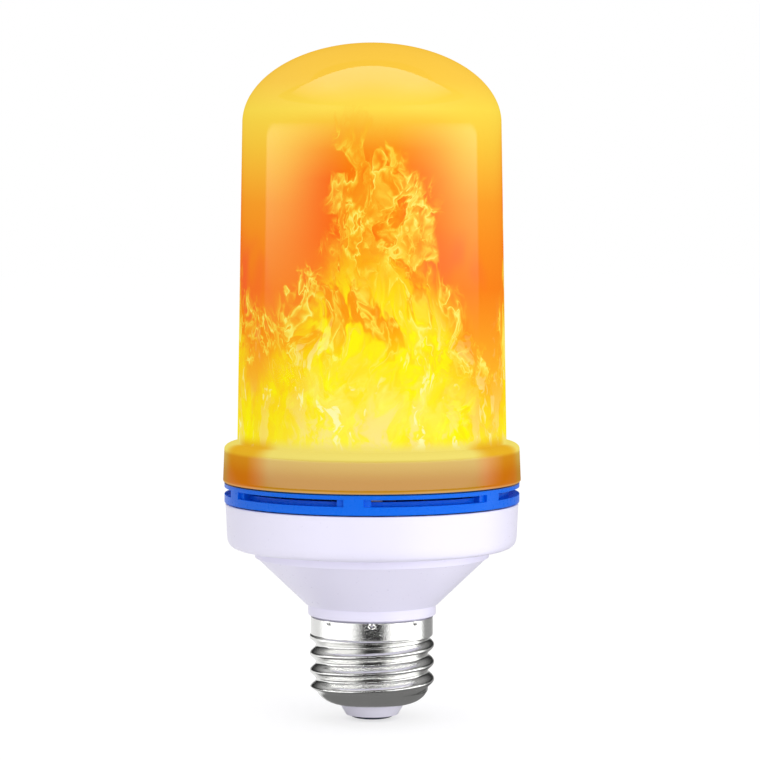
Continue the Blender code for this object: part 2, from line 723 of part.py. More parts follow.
def led_strip():
    """The flexible board wrapped round the core, with its LEDs soldered flat on its facets."""
    profile = [
        (STRIP_RADIUS, STRIP_TOP_Z),
        (STRIP_RADIUS, STRIP_Z),
        (STRIP_BORE, STRIP_Z),
        (STRIP_BORE, STRIP_TOP_Z),
    ]
    strip = turned("flex_led_strip", profile, COLUMN_SEGMENTS, "strip_film", closed=True)
    half_facet = math.pi / COLUMN_SEGMENTS
    facet_distance = STRIP_RADIUS * math.cos(half_facet)

    def leds(work):
        root = facet_distance - STRIP_THICKNESS / 4
        crown = facet_distance + LED_THICKNESS
        for column in range(LED_COLUMNS):
            turn = half_facet + 2 * math.pi * column / LED_COLUMNS
            for row in range(LED_ROWS):
                height = STRIP_Z + (row + 0.5) * LED_ROW_PITCH
                block(work, ((root + crown) / 2, 0.0, height), (crown - root, LED_WIDTH, LED_LENGTH), turn)

    def seam(work):
        turn = half_facet + 2 * math.pi * SEAM_COLUMN / LED_COLUMNS
        middle = (STRIP_Z + STRIP_TOP_Z) / 2
        length = 2 * (STRIP_TOP_Z - STRIP_Z)
        block(work, (STRIP_RADIUS, 0.0, middle), (4 * STRIP_THICKNESS, STRIP_SEAM, length), turn)

    combine(strip, add_tool("strip_leds", mesh_of("strip_leds", leds)), "UNION")
    combine(strip, add_tool("strip_seam", mesh_of("strip_seam", seam)), "DIFFERENCE")


def disc_with_holes(name, radius, foot, thickness, places, hole_radius, paint):
    """A round circuit board with a hole at each place."""

    def disc(work):
        rod(work, (0.0, 0.0, foot + thickness / 2), radius, thickness, FINE_SEGMENTS)

    def holes(work):
        for x, y, _ in places:
            rod(work, (x, y, foot + thickness / 2), hole_radius, 2 * thickness)

    board = add_part(name, mesh_of(name, disc), paint)
    combine(board, add_tool(name + "_holes", mesh_of(name + "_holes", holes)), "DIFFERENCE")


def top_led_board():
    centre = [(0.0, 0.0, 0.0)]
    disc_with_holes(
        "top_led_board", TOP_BOARD_RADIUS, TOP_BOARD_Z, TOP_BOARD_THICKNESS, centre, SCREW_HOLE_RADIUS,
        "aluminium_board",
    )


def top_leds():
    """Separate LED packages in a ring on the top board."""

    def package(work):
        block(work, (0.0, 0.0, LED_THICKNESS / 2), (LED_LENGTH, LED_WIDTH, LED_THICKNESS))

    mesh = mesh_of("led_package", package)
    for index, (x, y, angle) in enumerate(round_places(TOP_LED_COUNT, TOP_LED_CIRCLE, math.pi / 6)):
        led = add_part(f"top_led_{index + 1}", mesh, "led_package", (x, y, TOP_BOARD_TOP_Z + FIT_GAP))
        led.rotation_euler.z = angle
        soften(led, LED_CORNER)


def screw_mesh(name, length):
    """A pan head screw with a cross recess, its head standing on Z = 0."""
    shank = SCREW_SHANK_RADIUS
    head = arc(
        (0.0, SCREW_HEAD_HEIGHT / 3), (SCREW_HEAD_RADIUS, SCREW_HEAD_HEIGHT * 2 / 3), 90, 0, 2
    )
    profile = [
        *head,
        (SCREW_HEAD_RADIUS, 0.0),
        (shank, 0.0),
        (shank, shank - length),
        (shank / 2, -length),
        (0.0, -length),
    ]
    profile[0] = (0.0, SCREW_HEAD_HEIGHT)
    blank = add_tool(name + "_blank", profile_mesh(name + "_blank", profile, False))
    turn_profile(blank, SCREW_SEGMENTS)
    tools = []
    for number, turn in enumerate((0.0, math.pi / 2)):

        def bar(work, turn=turn):
            size = (SCREW_RECESS_LENGTH, SCREW_RECESS_WIDTH, 2 * SCREW_RECESS_DEPTH)
            block(work, (0.0, 0.0, SCREW_HEAD_HEIGHT), size, turn)

        tools.append(add_tool(f"{name}_bar_{number}", mesh_of(f"{name}_bar_{number}", bar)))
        combine(blank, tools[-1], "DIFFERENCE")
    bpy.context.view_layer.update()
    mesh = evaluated_mesh(blank)
    for tool in (*tools, blank):
        bpy.data.objects.remove(tool, do_unlink=True)
    return mesh


def screws():
    column_screw = screw_mesh("column_screw", COLUMN_SCREW_LENGTH)
    head_z = FLANGE_TOP_Z + FIT_GAP
    for index, (x, y, _) in enumerate(round_places(POST_COUNT, POST_CIRCLE, FIRST_POST_ANGLE)):
        add_part(f"column_screw_{index + 1}", column_screw, "screw_steel", (x, y, head_z))
    top_screw = screw_mesh("top_board_screw", TOP_SCREW_LENGTH)
    add_part("top_board_screw", top_screw, "screw_steel", (0.0, 0.0, TOP_BOARD_TOP_Z + FIT_GAP))


def driver_board():
    places = round_places(POST_COUNT, POST_CIRCLE, FIRST_POST_ANGLE)
    disc_with_holes(
        "driver_board", board_radius(), BOARD_Z, BOARD_THICKNESS, places, POST_RADIUS + FIT_GAP,
        "driver_laminate",
    )


def capacitor(name, radius, height, place, hanging=False):
    """A sleeved can with the crimp groove near its seal, standing on the board or hanging below."""
    groove = CAPACITOR_GROOVE
    profile = [
        (0.0, height),
        (radius - 2 * groove, height),
        (radius, height - groove),
        (radius, 5 * groove),
        (radius - groove, 4 * groove),
        (radius, 3 * groove),
        (radius, 0.0),
        (0.0, 0.0),
    ]
    can = turned(name, profile, SMALL_SEGMENTS, "capacitor_sleeve", place=place)
    if hanging:
        can.rotation_euler.x = math.pi


def choke():
    """Ferrite bobbin with its copper winding round the neck."""
    place = (*CHOKE_PLACE, BOARD_TOP_Z + FIT_GAP)
    upper = CHOKE_HEIGHT - CHOKE_FLANGE
    core = [
        (0.0, CHOKE_HEIGHT),
        (CHOKE_RADIUS, CHOKE_HEIGHT),
        (CHOKE_RADIUS, upper),
        (CHOKE_NECK_RADIUS, upper),
        (CHOKE_NECK_RADIUS, CHOKE_FLANGE),
        (CHOKE_RADIUS, CHOKE_FLANGE),
        (CHOKE_RADIUS, 0.0),
        (0.0, 0.0),
    ]
    turned("choke_core", core, SMALL_SEGMENTS, "ferrite", place=place)
    outer = CHOKE_RADIUS - 2 * FIT_GAP
    inner = CHOKE_NECK_RADIUS + FIT_GAP
    winding = [
        (outer, upper - FIT_GAP),
        (outer, CHOKE_FLANGE + FIT_GAP),
        (inner, CHOKE_FLANGE + FIT_GAP),
        (inner, upper - FIT_GAP),
    ]
    turned("choke_winding", winding, SMALL_SEGMENTS, "copper_winding", closed=True, place=place)


def board_place(inset, angle):
    """Where a piece stands that lies a distance in from the driver board's edge."""
    radius = board_radius() - inset
    return (radius * math.cos(angle), radius * math.sin(angle))


def on_board(name, size, place, paint, turn=0.0, edge=CHIP_EDGE):
    """A block standing on the driver board, with softened edges."""

    def body(work):
        block(work, (0.0, 0.0, size[2] / 2), size)

    part = add_part(name, mesh_of(name, body), paint, (*place, BOARD_TOP_Z + FIT_GAP))
    part.rotation_euler.z = turn
    soften(part, edge)
    return part


def legged_chip(name, size, place, pairs, pitch):
    """A chip with soldered legs along its two long sides."""
    chip = on_board(name, size, place, "chip_resin")

    def legs(work):
        reach = size[1] + 2 * LEG_REACH
        for pair in range(pairs):
            x = (pair - (pairs - 1) / 2) * pitch
            block(work, (x, 0.0, LEG_HEIGHT / 2), (LEG_WIDTH, reach, LEG_HEIGHT))

    tool = add_tool(name + "_legs", mesh_of(name + "_legs", legs))
    tool.location = chip.location
    combine(chip, tool, "UNION")


def board_parts():
    """What is soldered to the driver board, with the bulk capacitor hanging down into the cone."""
    below = (BULK_CAPACITOR_RADIUS + FUSE_LEAD_RADIUS + 2 * FIT_GAP, 0.0, BOARD_Z - FIT_GAP)
    capacitor("bulk_capacitor", BULK_CAPACITOR_RADIUS, BULK_CAPACITOR_HEIGHT, below, hanging=True)
    beside = (*OUTPUT_CAPACITOR_PLACE, BOARD_TOP_Z + FIT_GAP)
    capacitor("output_capacitor", OUTPUT_CAPACITOR_RADIUS, OUTPUT_CAPACITOR_HEIGHT, beside)
    choke()
    case = "film_capacitor_case"
    on_board("film_capacitor", FILM_CAPACITOR_SIZE, FILM_CAPACITOR_PLACE, case, edge=FILM_CAPACITOR_EDGE)
    bridge = board_place(CHIP_INSET, BRIDGE_ANGLE)
    legged_chip("bridge_rectifier", BRIDGE_SIZE, bridge, 2, 2 * LEG_PITCH)
    driver = board_place(CHIP_INSET, DRIVER_CHIP_ANGLE)
    legged_chip("driver_chip", DRIVER_CHIP_SIZE, driver, 4, LEG_PITCH)
    legged_chip("controller_chip", CONTROLLER_SIZE, CONTROLLER_PLACE, 8, LEG_PITCH)
    for index in range(CHIP_RESISTOR_COUNT):
        name = f"chip_resistor_{index + 1}"
        angle = FIRST_CHIP_RESISTOR_ANGLE + index * CHIP_RESISTOR_STEP
        place = board_place(CHIP_RESISTOR_INSET, angle)
        on_board(name, CHIP_RESISTOR_SIZE, place, "chip_resin", angle, CHIP_RESISTOR_EDGE)


def tilt_switch():
    """The sealed can that tells the controller which way up the bulb is."""
    radius = TILT_SWITCH_RADIUS
    base_radius = radius + CAPACITOR_GROOVE
    profile = [
        (0.0, TILT_SWITCH_HEIGHT),
        (radius - CAPACITOR_GROOVE, TILT_SWITCH_HEIGHT),
        (radius, TILT_SWITCH_HEIGHT - CAPACITOR_GROOVE),
        (radius, 2 * CAPACITOR_GROOVE),
        (base_radius, 2 * CAPACITOR_GROOVE),
        (base_radius, 0.0),
        (0.0, 0.0),
    ]
    place = (*TILT_SWITCH_PLACE, BOARD_TOP_Z + FIT_GAP)
    turned("tilt_switch", profile, SMALL_SEGMENTS, "switch_can", place=place)


def fuse_resistor():
    """Axial resistor from the contact's rivet up to the board, with a sleeve over its body."""
    foot = CONTACT_THICKNESS + RIVET_HEIGHT + FIT_GAP
    body_foot = foot + FUSE_LEAD_LENGTH
    body_top = body_foot + FUSE_LENGTH
    lead_top = BOARD_Z - FIT_GAP
    end = FUSE_RADIUS / 2
    profile = [
        (0.0, lead_top),
        (FUSE_LEAD_RADIUS, lead_top),
        (FUSE_LEAD_RADIUS, body_top),
        (FUSE_RADIUS - end / 2, body_top),
        (FUSE_RADIUS, body_top - end),
        (FUSE_RADIUS, body_foot + end),
        (FUSE_RADIUS - end / 2, body_foot),
        (FUSE_LEAD_RADIUS, body_foot),
        (FUSE_LEAD_RADIUS, foot),
        (0.0, foot),
    ]
    turned("fuse_resistor", profile, SMALL_SEGMENTS, "resistor_ceramic")
    bore = FUSE_RADIUS + FIT_GAP
    sleeve = [
        (bore + SLEEVE_WALL, body_top + SLEEVE_OVERLAP),
        (bore + SLEEVE_WALL, body_foot - SLEEVE_OVERLAP),
        (bore, body_foot - SLEEVE_OVERLAP),
        (bore, body_top + SLEEVE_OVERLAP),
    ]
    turned("resistor_sleeve", sleeve, SMALL_SEGMENTS, "sleeve_rubber", closed=True)


def wire(name, points, radius, paint):
    """A round wire through the points."""
    curve = bpy.data.curves.new(name, "CURVE")
    curve.dimensions = "3D"
    curve.bevel_depth = radius
    curve.bevel_resolution = 2
    curve.use_fill_caps = True
    spline = curve.splines.new("POLY")
    spline.points.add(len(points) - 1)
    for point, place in zip(spline.points, points):
        point.co = (*place, 1.0)
    curve.materials.append(paint_of(paint))
    lead = bpy.data.objects.new(name, curve)
    bpy.data.collections["flame_effect_bulb"].objects.link(lead)


def eased(start, end, steps):
    """Points from one place to another that leave and arrive straight up or down."""
    points = []
    for step in range(steps + 1):
        share = step / steps
        across = (1 - math.cos(math.pi * share)) / 2
        points.append(
            (
                start[0] + (end[0] - start[0]) * across,
                start[1] + (end[1] - start[1]) * across,
                start[2] + (end[2] - start[2]) * share,
            )
        )
    return points


def shell_lead():
    """The lead to the screw shell: down the spigot's bore, out through its slot, against the sheet."""
    inner = SPIGOT_BORE - SHELL_LEAD_INSET - SHELL_LEAD_RADIUS
    outer = SPIGOT_RADIUS - SHELL_LEAD_RADIUS
    spigot_foot = insulator_top() + FIT_GAP
    slot_top = spigot_foot + LEAD_SLOT_HEIGHT
    bend_top = slot_top + SHELL_LEAD_RADIUS
    bend_foot = spigot_foot + LEAD_SLOT_HEIGHT / 3
    points = [(-inner, 0.0, BOARD_Z - FIT_GAP), (-inner, 0.0, (BOARD_Z + slot_top) / 2)]
    points += eased((-inner, 0.0, bend_top), (-outer, 0.0, bend_foot), 6)
    wire("shell_lead", points, SHELL_LEAD_RADIUS, "tinned_copper")


def strip_wire_circle():
    """Radius at which the strip's wires pass the flange, just outside the strip."""
    return STRIP_RADIUS + STRIP_WIRE_HOLE_RADIUS


def strip_wires():
    """A pair from the driver board through the flange to the foot of the LED strip."""
    circle = strip_wire_circle()
    landing = STRIP_RADIUS + FIT_GAP + WIRE_RADIUS
    foot = BOARD_TOP_Z + FIT_GAP
    bend_foot = FLANGE_TOP_Z + FIT_GAP
    bend_top = bend_foot + LED_ROW_PITCH / 3
    turn = Matrix.Rotation(STRIP_WIRE_ANGLE, 4, "Z")
    for colour, side in (("red", 1), ("black", -1)):
        y = side * WIRE_SPACING / 2
        route = [(circle, y, foot), *eased((circle, y, bend_foot), (landing, y, bend_top), 4)]
        points = [turn @ Vector(point) for point in route]
        wire(f"strip_wire_{colour}", points, WIRE_RADIUS, f"{colour}_insulation")


def top_wires():
    """A pair inside the column, from the driver board up to the underside of the top board."""
    foot = BOARD_TOP_Z + FIT_GAP
    top = TOP_BOARD_Z - FIT_GAP
    steps = 10
    for colour, side in (("red", 1), ("black", -1)):
        y = side * WIRE_SPACING / 2
        route = []
        for step in range(steps + 1):
            share = step / steps
            bow = TOP_WIRE_BOW * math.sin(math.pi * share) ** 2
            route.append((TOP_WIRE_CIRCLE + bow, y, foot + (top - foot) * share))
        wire(f"top_wire_{colour}", route, WIRE_RADIUS, f"{colour}_insulation")


def main():
    clear_scene()
    new_collection("flame_effect_bulb")
    new_collection("cutters")
    centre_contact()
    cap_insulator()
    screw_shell()
    base_housing()
    vent_ring()
    diffuser()
    column_core()
    led_strip()
    top_led_board()
    top_leds()
    screws()
    driver_board()
    board_parts()
    tilt_switch()
    fuse_resistor()
    shell_lead()
    strip_wires()
    top_wires()


main()
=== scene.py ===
"""Dresses the packed flame effect bulb in its finished surfaces, materials and studio.

The CAD frame gives every place and most sizes. Each visible moulding is worked out again here as a fine
surface over its faceted solid, and every solid that stays gets a finish of its own.
"""

import math
from functools import partial

import bpy
import numpy as np
from bpy.props import FloatProperty, FloatVectorProperty, IntProperty, PointerProperty
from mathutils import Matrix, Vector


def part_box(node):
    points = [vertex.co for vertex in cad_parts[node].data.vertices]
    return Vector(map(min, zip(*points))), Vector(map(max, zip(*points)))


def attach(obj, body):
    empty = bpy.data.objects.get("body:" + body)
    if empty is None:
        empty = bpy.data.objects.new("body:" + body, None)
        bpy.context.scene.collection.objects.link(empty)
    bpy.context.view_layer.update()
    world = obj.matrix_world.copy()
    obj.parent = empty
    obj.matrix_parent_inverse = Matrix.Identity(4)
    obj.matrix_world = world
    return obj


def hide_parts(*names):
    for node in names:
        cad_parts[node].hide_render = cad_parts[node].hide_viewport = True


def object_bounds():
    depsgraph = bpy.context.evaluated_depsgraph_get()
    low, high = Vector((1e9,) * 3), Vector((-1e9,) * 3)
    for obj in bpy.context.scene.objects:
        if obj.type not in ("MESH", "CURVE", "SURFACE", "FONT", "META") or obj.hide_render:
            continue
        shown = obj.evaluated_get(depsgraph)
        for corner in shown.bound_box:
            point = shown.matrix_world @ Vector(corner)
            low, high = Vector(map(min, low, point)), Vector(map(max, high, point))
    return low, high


bl_info = {
    "name": "Flame Effect Bulb",
    "version": (1, 0, 0),
    "blender": (4, 5, 0),
    "location": "3D View > Sidebar > Flame Bulb",
    "description": "Builds the finished surfaces, materials and studio of a flame effect bulb",
    "category": "Add Mesh",
}

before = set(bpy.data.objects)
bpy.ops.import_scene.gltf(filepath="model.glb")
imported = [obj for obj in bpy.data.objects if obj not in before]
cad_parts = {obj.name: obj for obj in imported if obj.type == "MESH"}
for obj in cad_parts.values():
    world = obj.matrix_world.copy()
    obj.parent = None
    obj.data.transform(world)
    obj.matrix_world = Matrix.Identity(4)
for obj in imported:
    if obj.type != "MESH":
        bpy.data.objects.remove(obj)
cad_low, cad_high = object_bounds()

MILLIMETRE = 0.001
SAME_PLACE = 1e-9
FACET = 0.0005
FLOOR_GAP = 0.0002
WHITE = (1.0, 1.0, 1.0, 1.0)
BODY = "root"
FLOAT = "NodeSocketFloat"
COLOUR = "NodeSocketColor"


def linear(red, green, blue):
    """Scene-linear values of a colour given as three 0 to 255 display values."""
    values = np.array([red, green, blue]) / 255
    bright = ((values + 0.055) / 1.055) ** 2.4
    return tuple(float(v) for v in np.where(values > 0.04045, bright, values / 12.92))


def length(name, description, millimetres):
    default = millimetres * MILLIMETRE
    return FloatProperty(
        name=name, description=description, default=default, min=0.0, precision=5, unit="LENGTH"
    )


def amount(name, description, default, most=1.0):
    return FloatProperty(name=name, description=description, default=default, min=0.0, max=most)


def angle(name, description, degrees):
    return FloatProperty(name=name, description=description, default=math.radians(degrees), subtype="ANGLE")


def count(name, description, default):
    return IntProperty(name=name, description=description, default=default, min=3)


def tint(name, description, *display):
    return FloatVectorProperty(
        name=name, description=description, default=linear(*display), min=0.0, max=1.0, subtype="COLOR"
    )


class CoverSettings(bpy.types.PropertyGroup):
    """The milky cover: collar, tube and dome."""

    wall: length("Wall", "Thickness of the moulded wall", 1.4)
    collar_height: length("Collar height", "From the cover's foot up to the tube's foot", 8.2)
    collar_draft: length("Collar draft", "How much wider the collar is at its foot", 0.3)
    corner_width: length("Corner width", "Width of the collar's rounded shoulder", 2.3)
    corner_height: length("Corner height", "Height of the collar's rounded shoulder", 1.3)
    shelf: length("Shelf", "From the collar's shoulder in to the tube's foot", 2.75)
    draft: length("Draft", "How much narrower the tube is at its top", 1.2)
    dome_height: length("Dome height", "Height of the dome over the tube", 16.8)
    segments: count("Segments", "Facets round the cover", 192)
    collar_tint: tint("Collar", "Colour of the collar under a tongue of flame", 189, 131, 16)
    collar_dim: tint("Collar, dim", "Colour of the collar between two tongues of flame", 205, 115, 14)
    # painted light of the flame: the shoulder's yellow stands for the flame's light reaching it
    shoulder_flame_glow: tint("Shoulder", "Colour of the shoulder under a tongue of flame", 240, 222, 112)
    shoulder_flame_glow_dim: tint("Shoulder, dim", "Colour of the shoulder between two tongues of flame", 232, 178, 40)
    # painted highlight: a light colour along the collar's rounded lower edge, as if the edge caught the
    # light
    collar_edge_highlight: tint("Collar edge", "Colour of the collar's thin lower edge", 236, 196, 128)


class FlameSettings(bpy.types.PropertyGroup):
    """The glowing flame picture on the cover."""

    plumes: IntProperty(name="Plumes", description="Tall tongues of flame round the cover", default=3, min=1)
    glow: amount("Glow", "Share of the cover's colour that it gives off as light", 0.7)
    swirl: length("Swirl", "How far the large eddies push the flame aside", 13.0)
    ripple: length("Ripple", "How far the small eddies push the flame aside", 4.4)
    reach: amount("Reach", "Height of the tallest tongue, as a share of the cover over the collar", 0.78)
    gap: amount("Gap", "Height of the flame between two tongues, as a share of the same height", 0.27)


class HousingSettings(bpy.types.PropertyGroup):
    """The white moulding between the vent ring and the screw shell."""

    wall: length("Wall", "Thickness of the moulded wall", 1.6)
    spigot_wall: length("Spigot wall", "Thickness of the spigot inside the screw shell", 1.2)
    neck_height: length("Neck height", "Height of the plain neck over the screw shell", 2.3)
    neck_step: length("Neck step", "How far the neck stands out over the screw shell's rim", 0.61)
    cone_step: length("Cone step", "How far the cone's foot stands out over the neck", 0.46)
    cone_height: length("Cone height", "Height of the cone", 10.0)
    lip_height: length("Lip height", "Height of the narrow band over the cone", 2.0)
    lip_inset: length("Lip inset", "From the drum's foot in to the band over the cone", 5.7)
    lip_step: length("Lip step", "How far the band stands out over the cone", 0.35)
    drum_height: length("Drum height", "Height of the drum", 9.5)
    drum_draft: length("Drum draft", "How much narrower the drum is at its foot", 0.45)
    drum_corner: length("Drum corner", "Radius of the drum's lower edge", 2.4)
    post_radius: length("Post radius", "Radius of the three screw posts", 2.2)
    post_inset: length("Post inset", "From the drum's foot in to the posts' circle", 5.5)
    post_bore: length("Post bore", "Radius of the screw holes in the posts", 1.45)
    post_depth: length("Post depth", "Depth of the screw holes in the posts", 8.0)
    segments: count("Segments", "Facets round the housing", 192)
    colour: tint("Colour", "White plastic with a violet cast", 238, 235, 255)


class RingSettings(bpy.types.PropertyGroup):
    """The blue vent ring between the housing and the cover."""

    height: length("Height", "Height of the band that shows", 4.0)
    width: length("Width", "From the band's face in to its bore", 3.3)
    rim_height: length("Rim height", "Height of the rim inside the collar", 1.5)
    rim_wall: length("Rim wall", "Thickness of the rim inside the collar", 1.0)
    rim_inset: length("Rim inset", "From the band's face in to the rim", 1.7)
    spigot_bore_inset: length("Spigot inset", "From the band's face in to the spigot's bore", 3.4)
    slot_floor: length("Slot floor", "From the band's foot up to the slots", 1.7)
    slot_height: length("Slot height", "Height of each slot", 1.45)
    slot_depth: length("Slot depth", "Depth of each slot", 2.3)
    recess: length("Recess", "Depth of the slots' ends, over the pillars", 0.7)
    vent: length("Vent", "Height of the gap that runs through at the top of each slot", 0.6)
    web: angle("Web", "Solid stretch between two slots", 7.6)
    pillar: angle("Pillar", "Solid stretch behind the recessed ends of two slots", 13.2)
    first_web: angle("First web", "Where the middle of the first web lies", -96.8)
    slots: count("Slots", "Slots round the ring", 6)
    edge: length("Edge", "Width of the softened edges", 0.14)
    colour: tint("Colour", "Bright blue plastic", 1, 104, 232)


class CapSettings(bpy.types.PropertyGroup):
    """The screw shell, its insulator and the centre contact."""

    sheet: length("Sheet", "Thickness of the plated sheet", 0.3)
    hole_radius: length("Hole", "Radius of the hole at the shell's foot", 7.3)
    bowl_height: length("Bowl", "Height of the rounded foot of the shell", 3.6)
    thread_depth: length("Thread depth", "From the thread's root out to its crest", 1.3)
    pitch: length("Pitch", "Height of one turn of the thread", 3.629)
    phase: length("Phase", "Height of the first crest over the shell's foot, at +X", 5.1)
    fade: length("Fade", "Height over which the thread runs out into the bowl", 1.3)
    rim_inset: length("Rim inset", "How far the plain rim lies inside the crests", 0.27)
    rim_height: length("Rim height", "Height of the plain rim", 4.0)
    rim_step: length("Rim step", "Height of the slope from the rim to the thread", 0.8)
    rim_fade: length("Rim fade", "Height over which the thread runs out under the rim", 0.7)
    marks: count("Marks", "Punch marks round the rim", 8)
    mark_radius: length("Mark radius", "Radius of a punch mark", 0.42)
    mark_depth: length("Mark depth", "Depth of a punch mark", 0.42)
    mark_drop: length("Mark drop", "From the rim's edge down to the marks", 0.38)
    segments: count("Segments", "Facets round the screw shell", 288)
    insulator_tip: length("Insulator tip", "Radius of the insulator round the contact", 5.5)
    insulator_gap: length("Insulator gap", "Clearance round the insulator", 0.3)
    rivet_radius: length("Rivet radius", "Radius of the contact's rivet", 1.5)
    contact_thickness: length("Contact thickness", "Thickness of the contact's disc", 0.7)
    contact_round: length("Contact round", "Width of the contact's rounded lower edge", 2.2)
    tip_reach: length("Tip reach", "How far the insulator's tip comes down towards the contact", 0.2)
    nickel: tint("Nickel", "Nickel plate", 232, 232, 230)
    insulator: tint("Insulator", "Insulator plastic", 243, 240, 255)
    # painted shade: the contact's tint is darkened and given a blue cast for the shade under the bulb
    contact: tint("Contact", "Dark metal of the contact", 70, 78, 104)


class StudioSettings(bpy.types.PropertyGroup):
    """Camera, floor and lights."""

    distance: length("Distance", "From the bulb's axis to the camera", 698.6)
    height: length("Height", "Height of the camera over the contact", 115.7)
    aside: length("Aside", "How far the camera stands to the right", 1.7)
    pitch: angle("Pitch", "How far the camera looks down", 3.6)
    lens: FloatProperty(name="Lens", description="Focal length in millimetres", default=157.2, min=1.0)
    floor_size: length("Floor size", "Side of the pale floor", 6000.0)
    dish_radius: length("Dish radius", "From the bulb's axis to the wall that the gloss reflects", 500.0)
    lid_height: length("Lid height", "Height of the reflected overhead softbox", 900.0)
    gloss_light: amount("Gloss light", "Strength of the reflected softboxes", 3.0, 20.0)
    room_light: amount("Room light", "Strength of the light from all round", 0.8, 5.0)
    floor_tone: amount("Floor tone", "Share of the light that the floor gives back", 0.88)
    key_power: amount("Key light", "Power of the large light in front, in watts", 1.9, 500.0)


SETTINGS = {
    "flame_bulb_cover": CoverSettings,
    "flame_bulb_flame": FlameSettings,
    "flame_bulb_housing": HousingSettings,
    "flame_bulb_ring": RingSettings,
    "flame_bulb_cap": CapSettings,
    "flame_bulb_studio": StudioSettings,
}


def extent(node):
    """Widest radius, lowest height and highest height of a CAD node."""
    low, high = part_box(node)
    return high.x, low.z, high.z


def softened(corners, steps=5):
    """Round the corners of an outline given as (radius, height, rounding).

    Each corner is replaced by the parabola that leaves one side and meets the other a rounding's distance
    from the corner: (1 - t)^2 start + 2 t (1 - t) corner + t^2 end, for t from 0 to 1.
    """
    corners = np.array(corners, float)
    points = corners[:, :2]
    before = np.roll(points, 1, axis=0) - points
    after = np.roll(points, -1, axis=0) - points
    before[0] = 0.0
    after[-1] = 0.0
    reach = np.minimum(np.linalg.norm(before, axis=1), np.linalg.norm(after, axis=1))
    rounding = np.minimum(corners[:, 2], 0.48 * reach)[:, None]

    def towards(side):
        """The points a rounding's distance along one side; the last term keeps an end's side off zero."""
        side = side + (1e-12, 0.0)
        return points + rounding * side / np.linalg.norm(side, axis=1)[:, None]

    t = np.linspace(0.0, 1.0, steps)[:, None, None]
    curved = (1 - t) ** 2 * towards(before) + 2 * t * (1 - t) * points + t**2 * towards(after)
    curved = np.swapaxes(curved, 0, 1).reshape(-1, 2)
    moved = np.ones(len(curved), bool)
    moved[1:] = np.linalg.norm(np.diff(curved, axis=0), axis=1) > SAME_PLACE
    return curved[moved]


def spaced(outline, longest):
    """Split each stretch of an outline evenly, so that none is longer than the given length."""
    outline = np.asarray(outline, float)
    steps = np.diff(outline, axis=0)
    parts = np.maximum(np.ceil(np.linalg.norm(steps, axis=1) / longest), 1).astype(int)
    first = np.cumsum(parts) - parts
    share = (np.arange(parts.sum()) - np.repeat(first, parts)) / np.repeat(parts, parts)
    inside = np.repeat(outline[:-1], parts, axis=0) + share[:, None] * np.repeat(steps, parts, axis=0)
    return np.vstack([inside, outline[-1]])


def ellipse(middle, radii, start, end, steps):
    """Points along an ellipse: middle + radii * (cos a, sin a), for a from start to end in degrees."""
    a = np.radians(np.linspace(start, end, steps + 1))[:, None]
    return np.hstack([middle[0] + radii[0] * np.cos(a), middle[1] + radii[1] * np.sin(a)])


def around_axis(radius, height, a):
    """Points at x = r cos a, y = r sin a, z = h, over arrays of radius, height and angle."""
    radius, height, a = np.broadcast_arrays(radius, height, a)
    return np.stack([radius * np.cos(a), radius * np.sin(a), height], axis=-1)


def ring_quads(index):
    """Quads between the rows of a grid of vertex numbers whose columns go once round the axis."""
    upper, lower = index[:-1], index[1:]
    sides = [upper, lower, np.roll(lower, -1, axis=1), np.roll(upper, -1, axis=1)]
    return np.stack(sides, axis=-1).reshape(-1, 4)


def mesh_of(name, points, faces):
    """A smooth mesh from an array of points and arrays of quads and triangles."""
    mesh = bpy.data.meshes.new(name)
    mesh.vertices.add(len(points))
    mesh.vertices.foreach_set("co", np.asarray(points, np.float32).ravel())
    corners = np.concatenate([np.asarray(block, np.int32).ravel() for block in faces])
    sizes = np.concatenate([np.full(len(block), np.shape(block)[1]) for block in faces])
    mesh.loops.add(len(corners))
    mesh.loops.foreach_set("vertex_index", corners)
    mesh.polygons.add(len(sizes))
    mesh.polygons.foreach_set("loop_start", (np.cumsum(sizes) - sizes).astype(np.int32))
    mesh.polygons.foreach_set("use_smooth", np.ones(len(sizes), bool))
    mesh.update(calc_edges=True)
    mesh.validate()
    return mesh


def turned_skin(outline, segments, closed=False, middle=(0.0, 0.0)):
    """Carry an outline of (radius, height) round an upright axis: x = r cos a, y = r sin a, z = h.

    The outline runs down the outer side and back up the bore. A closed outline makes a ring; otherwise an
    end that lies on the axis becomes one pole vertex. Gives the points, the quads and the triangles.
    """
    outline = np.asarray(outline, float)
    on_axis = outline[:, :1] < SAME_PLACE
    column = np.arange(segments)
    widths = np.where(on_axis, 1, segments)
    index = np.cumsum(widths)[:, None] - widths + np.where(on_axis, 0, column)
    if closed:
        index = np.vstack([index, index[:1]])
    grid = around_axis(outline[:, :1], outline[:, 1:], 2 * np.pi * column / segments)
    quads = ring_quads(index)
    top_pole = quads[:, 0] == quads[:, 3]
    foot_pole = quads[:, 1] == quads[:, 2]
    triangles = np.vstack([quads[top_pole][:, :3], quads[foot_pole][:, [0, 1, 3]]])
    points = grid[~on_axis | (column == 0)] + (*middle, 0.0)
    return points, quads[~(top_pole | foot_pole)], triangles


def turned_mesh(name, *skins):
    """One mesh that holds one or more turned skins."""
    blocks, first = [], 0
    for points, *faces in skins:
        blocks += [block + first for block in faces]
        first += len(points)
    return mesh_of(name, np.vstack([points for points, *_ in skins]), blocks)


